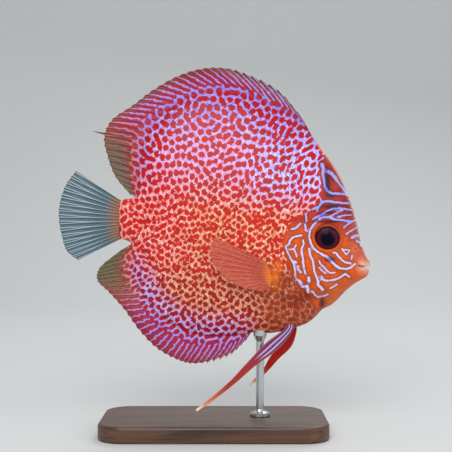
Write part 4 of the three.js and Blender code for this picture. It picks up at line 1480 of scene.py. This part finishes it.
@dataclass
class Scales:
    """Thin overlapping plates over the trunk, each rooted in the skin with its free edge behind."""

    form: BodyForm
    markings: Markings
    pitch: float = 2.3
    sides: int = 9
    lift: float = 0.075
    buried: float = -0.06
    # Plates stop this share of the way to the rim.
    rim_share: float = 0.985
    seed: int = 7

    def roots(self) -> np.ndarray:
        """Sets the plates' middles in staggered rows over the trunk."""
        rng = np.random.default_rng(self.seed)
        rows = np.arange(-70, 72, self.pitch * 0.8)
        spots = []
        for k, height in enumerate(rows):
            x = np.arange(-52, 70, self.pitch * 0.95) + (k % 2) * self.pitch * 0.48
            spots.append(np.stack([x, np.full_like(x, height)], 1))
        spots = np.concatenate(spots)
        spots += rng.normal(0, 0.06, spots.shape)
        share = self.form.share_at(spots)
        eye = np.linalg.norm(spots - EYE_AT, axis=1)
        gill, _ = distance_to_line(spots, GILL_RIM)
        keep = (share < 0.972) & (eye > EYE_RADIUS + 3.2) & (gill > 1.3) & (spots[:, 0] < 40)
        keep &= ~((spots[:, 0] > 35) & self.form.before_gill_rim(spots) & (spots[:, 1] < 2))
        return spots[keep]

    def build(self) -> bpy.types.Object:
        """Makes every plate a low closed lens of a few faces that follows the skin."""
        roots = self.roots()
        rng = np.random.default_rng(self.seed + 1)
        turn = np.linspace(0, 2 * math.pi, self.sides, endpoint=False)
        size = self.pitch * 0.68 * (1 + rng.normal(0, 0.05, len(roots)))
        shape = np.stack([np.cos(turn) * 1.05, np.sin(turn) * 0.95], 1)
        rim = roots[:, None, :] + shape[None] * size[:, None, None]
        rearward = (1 - np.cos(turn)) / 2
        lift = self.buried + (self.lift - self.buried) * rearward ** 0.7
        lifts = np.concatenate([lift, [self.lift * 0.55, -0.2]])
        flat = np.concatenate([rim, roots[:, None, :], roots[:, None, :]], 1).reshape(-1, 2)
        share = self.form.share_at(flat)
        held = POLE + (flat - POLE) * (self.rim_share / share)[:, None]
        flat = np.where(share[:, None] > self.rim_share, held, flat)
        share = np.minimum(share, self.rim_share)
        half = self.form.half(flat, share, -COAT_DEPTH)
        push = self.normals(flat) * np.tile(lifts, len(roots))[:, None]
        points = [to_model(flat[:, 0] + push[:, 0], side * (half + push[:, 1]),
                           flat[:, 1] + push[:, 2]) for side in (-1, 1)]
        each = self.sides + 2
        i = np.arange(self.sides)
        j = (i + 1) % self.sides
        top = np.stack([i, j, np.full_like(i, self.sides)], 1)
        low = np.stack([j, i, np.full_like(i, self.sides + 1)], 1)
        starts = np.arange(len(roots))[:, None, None] * each
        one = (np.concatenate([top, low])[None] + starts).reshape(-1, 3)
        faces = np.concatenate([one, one[:, ::-1] + len(flat)])
        piece = piece_from("scales", np.concatenate(points), faces)
        self.sharpen(piece, each)
        values = self.markings.paint(flat, share)
        write_values(piece.data, {k: np.concatenate([v, v]) for k, v in values.items()})
        self.unwrap(piece, roots, shape)
        return piece

    def sharpen(self, piece: bpy.types.Object, each: int) -> None:
        """Keeps the edge between each plate's upper and lower face sharp.

        Args:
            piece: The scales.
            each: The number of vertices of one plate, rim first.
        """
        ends = np.zeros(len(piece.data.edges) * 2, int)
        piece.data.edges.foreach_get("vertices", ends)
        on_rim = (ends.reshape(-1, 2) % each < self.sides).all(1)
        sharp = piece.data.attributes.new("sharp_edge", "BOOLEAN", "EDGE")
        sharp.data.foreach_set("value", on_rim)

    def normals(self, spots: np.ndarray) -> np.ndarray:
        """Gives the left side's outward direction at each spot.

        Args:
            spots: Places in the side view, one a row.

        Returns:
            A direction of length 1 for each spot.
        """
        step = 0.25
        slopes = []
        for shift in (np.array([step, 0]), np.array([0, step])):
            ahead, behind = spots + shift, spots - shift
            rise = (self.form.half(ahead, np.minimum(self.form.share_at(ahead), 0.99))
                    - self.form.half(behind, np.minimum(self.form.share_at(behind), 0.99)))
            slopes.append(np.clip(rise / (2 * step), -3, 3))
        normal = np.stack([-slopes[0], np.ones(len(spots)), -slopes[1]], 1)
        return normal / np.linalg.norm(normal, axis=1, keepdims=True)

    def unwrap(self, piece: bpy.types.Object, roots: np.ndarray, shape: np.ndarray) -> None:
        """Lays each plate out small at its root's place on two discs, one for each flank.

        Args:
            piece: The piece in hand.
            roots: The plates' middles.
            shape: One plate's rim.
        """
        share = self.form.share_at(roots)
        arms = roots - POLE
        angle = np.arctan2(arms[:, 1], arms[:, 0])
        # Down the skin from the pole, the way grows faster than the side view's towards the rim.
        reach = 0.225 * (share + 0.12 * share ** 8)
        disc = np.stack([np.cos(angle) * reach, np.sin(angle) * reach * 2], 1)
        local = np.concatenate([shape, [[0, 0], [0.2, 0]]]) * 0.0014
        laid = (disc[:, None, :] + local[None]).reshape(-1, 2)
        both = np.concatenate([laid + [0.25, 0.5], laid * [-1, 1] + [0.75, 0.5]])
        layer = piece.data.uv_layers.new(name="OFBake")
        corner = np.zeros(len(piece.data.loops), int)
        piece.data.loops.foreach_get("vertex_index", corner)
        layer.data.foreach_set("uv", both[corner].astype(np.float32).ravel())


@dataclass(frozen=True)
class OiledWalnut:
    """Walnut, planed, edges eased, and oiled: open straight grain with a low sheen."""

    name: str = "oiled_walnut"
    stops: tuple[tuple[float, str], ...] = ((0.3, "#2c1a10"), (0.7, "#6b4630"))

    def make(self) -> bpy.types.Material:
        """Builds the material."""
        graph = NodeGraph(self.name)
        place = graph.add("TexCoord", out="Object")
        # Walnut's grain lines lie 1 to 3 mm apart and run the length of the board.
        board = graph.add("Mapping", {"Vector": place, "Scale": (14.0, 190.0, 190.0)})
        rings = graph.add("TexNoise", {
            "Vector": board, "Scale": 1.0, "Detail": 6.0, "Roughness": 0.6, "Distortion": 1.2})
        ramp = graph.add("ValToRGB", {"Fac": rings})
        set_stops(ramp, self.stops)
        fine = graph.add("Mapping", {"Vector": place, "Scale": (60.0, 1500.0, 1500.0)})
        pores = graph.add("TexNoise", {"Vector": fine, "Scale": 1.0, "Detail": 2.0})
        bump = graph.add("Bump", {"Height": pores, "Strength": 0.35, "Distance": 0.0002})
        return graph.finish(graph.add("BsdfPrincipled", {
            "Base Color": ramp, "Roughness": 0.42, "IOR": 1.5, "Normal": bump}))


@dataclass(frozen=True)
class BrushedSteel:
    """Stainless steel rod, turned and brushed round: soft bright bands."""

    name: str = "brushed_steel"

    def make(self) -> bpy.types.Material:
        """Builds the material."""
        graph = NodeGraph(self.name)
        place = graph.add("TexCoord", out="Object")
        # Turning marks about 0.1 mm apart, stacked up the rod.
        turned = graph.add("Mapping", {"Vector": place, "Scale": (200.0, 200.0, 9000.0)})
        marks = graph.add("TexNoise", {"Vector": turned, "Scale": 1.0, "Detail": 2.0})
        bump = graph.add("Bump", {"Height": marks, "Strength": 0.15, "Distance": 0.00005})
        return graph.finish(graph.add("BsdfPrincipled", {
            "Base Color": rgba("#c4c6c8"), "Metallic": 1.0, "Roughness": 0.28, "Normal": bump}))


@dataclass
class Stand:
    """The plain display stand: its solids keep their shape and get their finish."""

    def dress(self) -> None:
        """Gives the base and the rod their materials."""
        for name, finish in (("stand_base", OiledWalnut()), ("stand_rod", BrushedSteel())):
            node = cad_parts[name]
            node.data.materials.clear()
            node.data.materials.append(finish.make())
            LOG.info("%s dressed as %s", name, finish.name)


@dataclass
class Studio:
    """The pale floor and backdrop, the soft lights and the camera at the photograph's angle."""

    view_width: float = 0.226
    lens: float = 85.0
    sensor: float = 36.0
    aim: tuple[float, float] = (0.006, 0.103)
    # The floor, in metres: half its width, where it starts, how much the plane is stretched,
    # how far it runs level, and the radius of its bend.
    half_width: float = 3.0
    start: float = -2.0
    stretch: float = 2.2
    level: float = 2.8
    bend: float = 0.6
    # Each lamp's place, size in metres and power in watts: the key light, a fill and a rim light.
    lamps: tuple[tuple[tuple[float, float, float], float, float], ...] = (
        ((-0.1, -1.0, 0.75), 0.8, 9.3), ((0.75, -0.55, 0.35), 0.6, 1.8),
        ((0.2, 0.8, 0.9), 0.6, 3.6))

    def floor(self) -> None:
        """Adds a wide floor that curves up into a backdrop behind the fish."""
        clear_selection()
        bpy.ops.mesh.primitive_plane_add(size=2, location=(0, 0, 0))
        sweep = bpy.context.object
        sweep.name = sweep.data.name = "studio_sweep"
        bpy.ops.object.mode_set(mode="EDIT")
        bpy.ops.mesh.select_all(action="SELECT")
        bpy.ops.mesh.subdivide(number_cuts=60)
        bpy.ops.object.mode_set(mode="OBJECT")
        flat = read_points(sweep.data)
        away = (flat[:, 1] + 1) * self.stretch
        turn = np.clip((away - self.level) / self.bend, 0, math.pi / 2)
        rise = np.where(away > self.level, self.bend * (1 - np.cos(turn)), 0)
        rise += np.maximum(away - self.level - self.bend * math.pi / 2, 0)
        run = np.minimum(away, self.level) + self.bend * np.sin(turn)
        move_points(sweep.data, np.stack(
            [flat[:, 0] * self.half_width, run + self.start, rise], 1))
        bpy.ops.object.shade_smooth()
        graph = NodeGraph("pale_paper")
        sweep.data.materials.append(graph.finish(graph.add("BsdfPrincipled", {
            "Base Color": rgba("#dcdedc"), "Roughness": 0.9})))

    def light(self) -> None:
        """Adds the soft lamps and the light of the room."""
        for i, (place, size, power) in enumerate(self.lamps):
            lamp = bpy.data.lights.new(f"soft_{i}", "AREA")
            lamp.energy = power
            lamp.size = size
            holder = bpy.data.objects.new(f"soft_{i}", lamp)
            holder.location = place
            aim = np.array([0, 0, 0.1]) - np.array(place)
            holder.rotation_euler = (
                math.atan2(math.hypot(aim[0], aim[1]), -aim[2]), 0,
                math.atan2(aim[1], aim[0]) - math.pi / 2)
            bpy.context.scene.collection.objects.link(holder)
        world = bpy.data.worlds.new("studio_air")
        world.use_nodes = True
        air = world.node_tree.nodes["Background"]
        air.inputs[0].default_value = rgba("#e4e8ee")
        air.inputs[1].default_value = 0.55
        bpy.context.scene.world = world

    def camera(self) -> None:
        """Sets the camera level with the fish's flank, as in the photograph."""
        away = self.view_width * self.lens / self.sensor
        seen = bpy.data.cameras.new("camera")
        seen.lens = self.lens
        seen.sensor_width = self.sensor
        holder = bpy.data.objects.new("camera", seen)
        holder.location = (self.aim[0], -away, self.aim[1])
        holder.rotation_euler = (math.pi / 2, 0, 0)
        bpy.context.scene.collection.objects.link(holder)
        bpy.context.scene.camera = holder
        bpy.context.scene.view_settings.view_transform = "Standard"


DORSAL = DorsalFin(
    "dorsal_fin", ("dorsal_fin_spines", "dorsal_fin_top", "dorsal_fin_rear"),
    np.array([[45.5, 45], [38, 52], [28, 58], [17.5, 62.5], [6, 65.5], [-6.5, 65.5], [-18, 62],
              [-27, 57], [-34, 49], [-38.5, 39], [-40.5, 28.5], [-41.25, 19], [-42.25, 14.25]]),
    np.array([[39, 56], [29, 67.5], [15, 74.75], [2.5, 78.25], [-10, 77.75], [-22, 74],
              [-34, 67.25], [-44, 59.5], [-54, 52.25], [-57.75, 44], [-56.25, 34.5],
              [-52.5, 24.5], [-45, 15.25]]),
    spines=9, rays=30, bow=-0.06, tall_ray=28)
ANAL = AnalFin(
    "anal_fin", ("anal_fin_spines", "anal_fin_middle", "anal_fin_rear"),
    np.array([[15.5, -53.5], [10, -54.75], [3, -55.5], [-6, -55.5], [-14, -54], [-22, -51],
              [-29, -46.5], [-35, -40], [-39.5, -32], [-42.5, -23.5], [-44, -15.5],
              [-44.5, -9.5]]),
    np.array([[13, -57.5], [5.5, -64.5], [-4.5, -68], [-14.5, -69], [-22, -66.75],
              [-31.5, -61.5], [-40.5, -52.5], [-48, -42], [-55.5, -33.5], [-61.25, -27.25],
              [-60.5, -22], [-49.5, -12.5]]),
    spines=8, rays=29, bow=0.05, sway=(1.0, 4.4))
CAUDAL = CaudalFin(
    "tail_fin", ("caudal_fin",),
    np.array([[-49.5, 12.25], [-50.25, 9], [-50.5, 6], [-50.5, 2.5], [-50.5, -1], [-50.25, -4],
              [-49.5, -7]]),
    np.array([[-72, 27], [-77, 20], [-80, 11], [-80.5, 3], [-79, -5.5], [-76.5, -13],
              [-71, -17.5]]),
    spines=0, rays=16, bow=0.0, inset=1.8, notch=0.3, ray_poke=0.25, columns_each=14,
    rows=40, sway=(0.0, 0.0))
PECTORAL_ROOTS = np.array([[26, -19.75], [25.5, -21.75], [25, -24], [24.5, -26.5], [24, -28.5],
                           [23.75, -30.5]])
PECTORAL_TIPS = np.array([[-3, -6], [-4.75, -12.5], [-2, -20.5], [4, -26.5], [13, -30.75],
                          [21, -32]])
PELVIC_EDGES = {
    -1: (np.array([[37, -49], [36.4, -52], [29.4, -60.9], [17.4, -69.6], [7.9, -77.7],
                   [-2.2, -85.5], [-11.5, -91.6]]),
         np.array([[33.5, -47.5], [32.6, -50.8], [22.9, -58.5], [12.6, -69], [5, -77],
                   [-3.4, -84.2], [-12, -90.6]])),
    1: (np.array([[38.5, -49], [38.6, -53], [36.2, -61], [29.5, -68], [23.3, -75.1],
                  [15.6, -81.8]]),
        np.array([[35, -48], [35, -51.5], [30.5, -60], [25.2, -67], [21, -74.6],
                  [14.9, -80.9]])),
}


def main() -> None:
    """Builds the fish from skin to fins, then the stand's finish and the studio."""
    logging.basicConfig(level=logging.INFO, format="%(message)s")
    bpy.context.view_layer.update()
    form = BodyForm()
    markings = Markings(form)
    living_skin = LivingSkin().make()
    skin = Skin(form, markings).build()
    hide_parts("head", "lower_jaw", "torso", "tail_root", "gill_cover_right",
                "gill_cover_left")
    dress(skin, living_skin)
    dress(Scales(form, markings).build(), living_skin)
    wet_eye = WetEye().make()
    for side, node in ((-1, "eye_right"), (1, "eye_left")):
        ball = Eyes(form).build(side)
        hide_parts(node)
        dress(ball, wet_eye)
    dress(DORSAL.build(markings), FinWeb("dorsal_web").make())
    dress(ANAL.build(markings), FinWeb("anal_web").make())
    dress(CAUDAL.build(markings), FinWeb("tail_web").make())
    pectoral_web = FinWeb("pectoral_web").make()
    pelvic_web = FinWeb("pelvic_web").make()
    root_half = float(form.lens(np.array([[25, -24.5]]))[0]) + RIM_HALF - 0.4
    for side, word in ((-1, "right"), (1, "left")):
        breast = PectoralFin(
            f"breast_fin_{word}", (f"pectoral_fin_{word}",), PECTORAL_ROOTS, PECTORAL_TIPS,
            spines=0, rays=13, bow=-0.03, inset=1.2, ray_poke=0.3, notch=0.3,
            columns_each=10, side=side, root_half=root_half)
        dress(breast.build(markings), pectoral_web)
        front, back = PELVIC_EDGES[side]
        belly = PelvicFin(
            f"belly_fin_{word}", (f"pelvic_fin_{word}",), front, back, spines=1, rays=5,
            bow=0.0, columns_each=12, rows=80, side=side, forked=False,
            ray_half=(0.7, 0.24), web_half=(0.3, 0.16))
        dress(belly.build(markings), pelvic_web)
    Stand().dress()
    studio = Studio()
    studio.floor()
    studio.light()
    studio.camera()


if __name__ == "__main__":
    main()
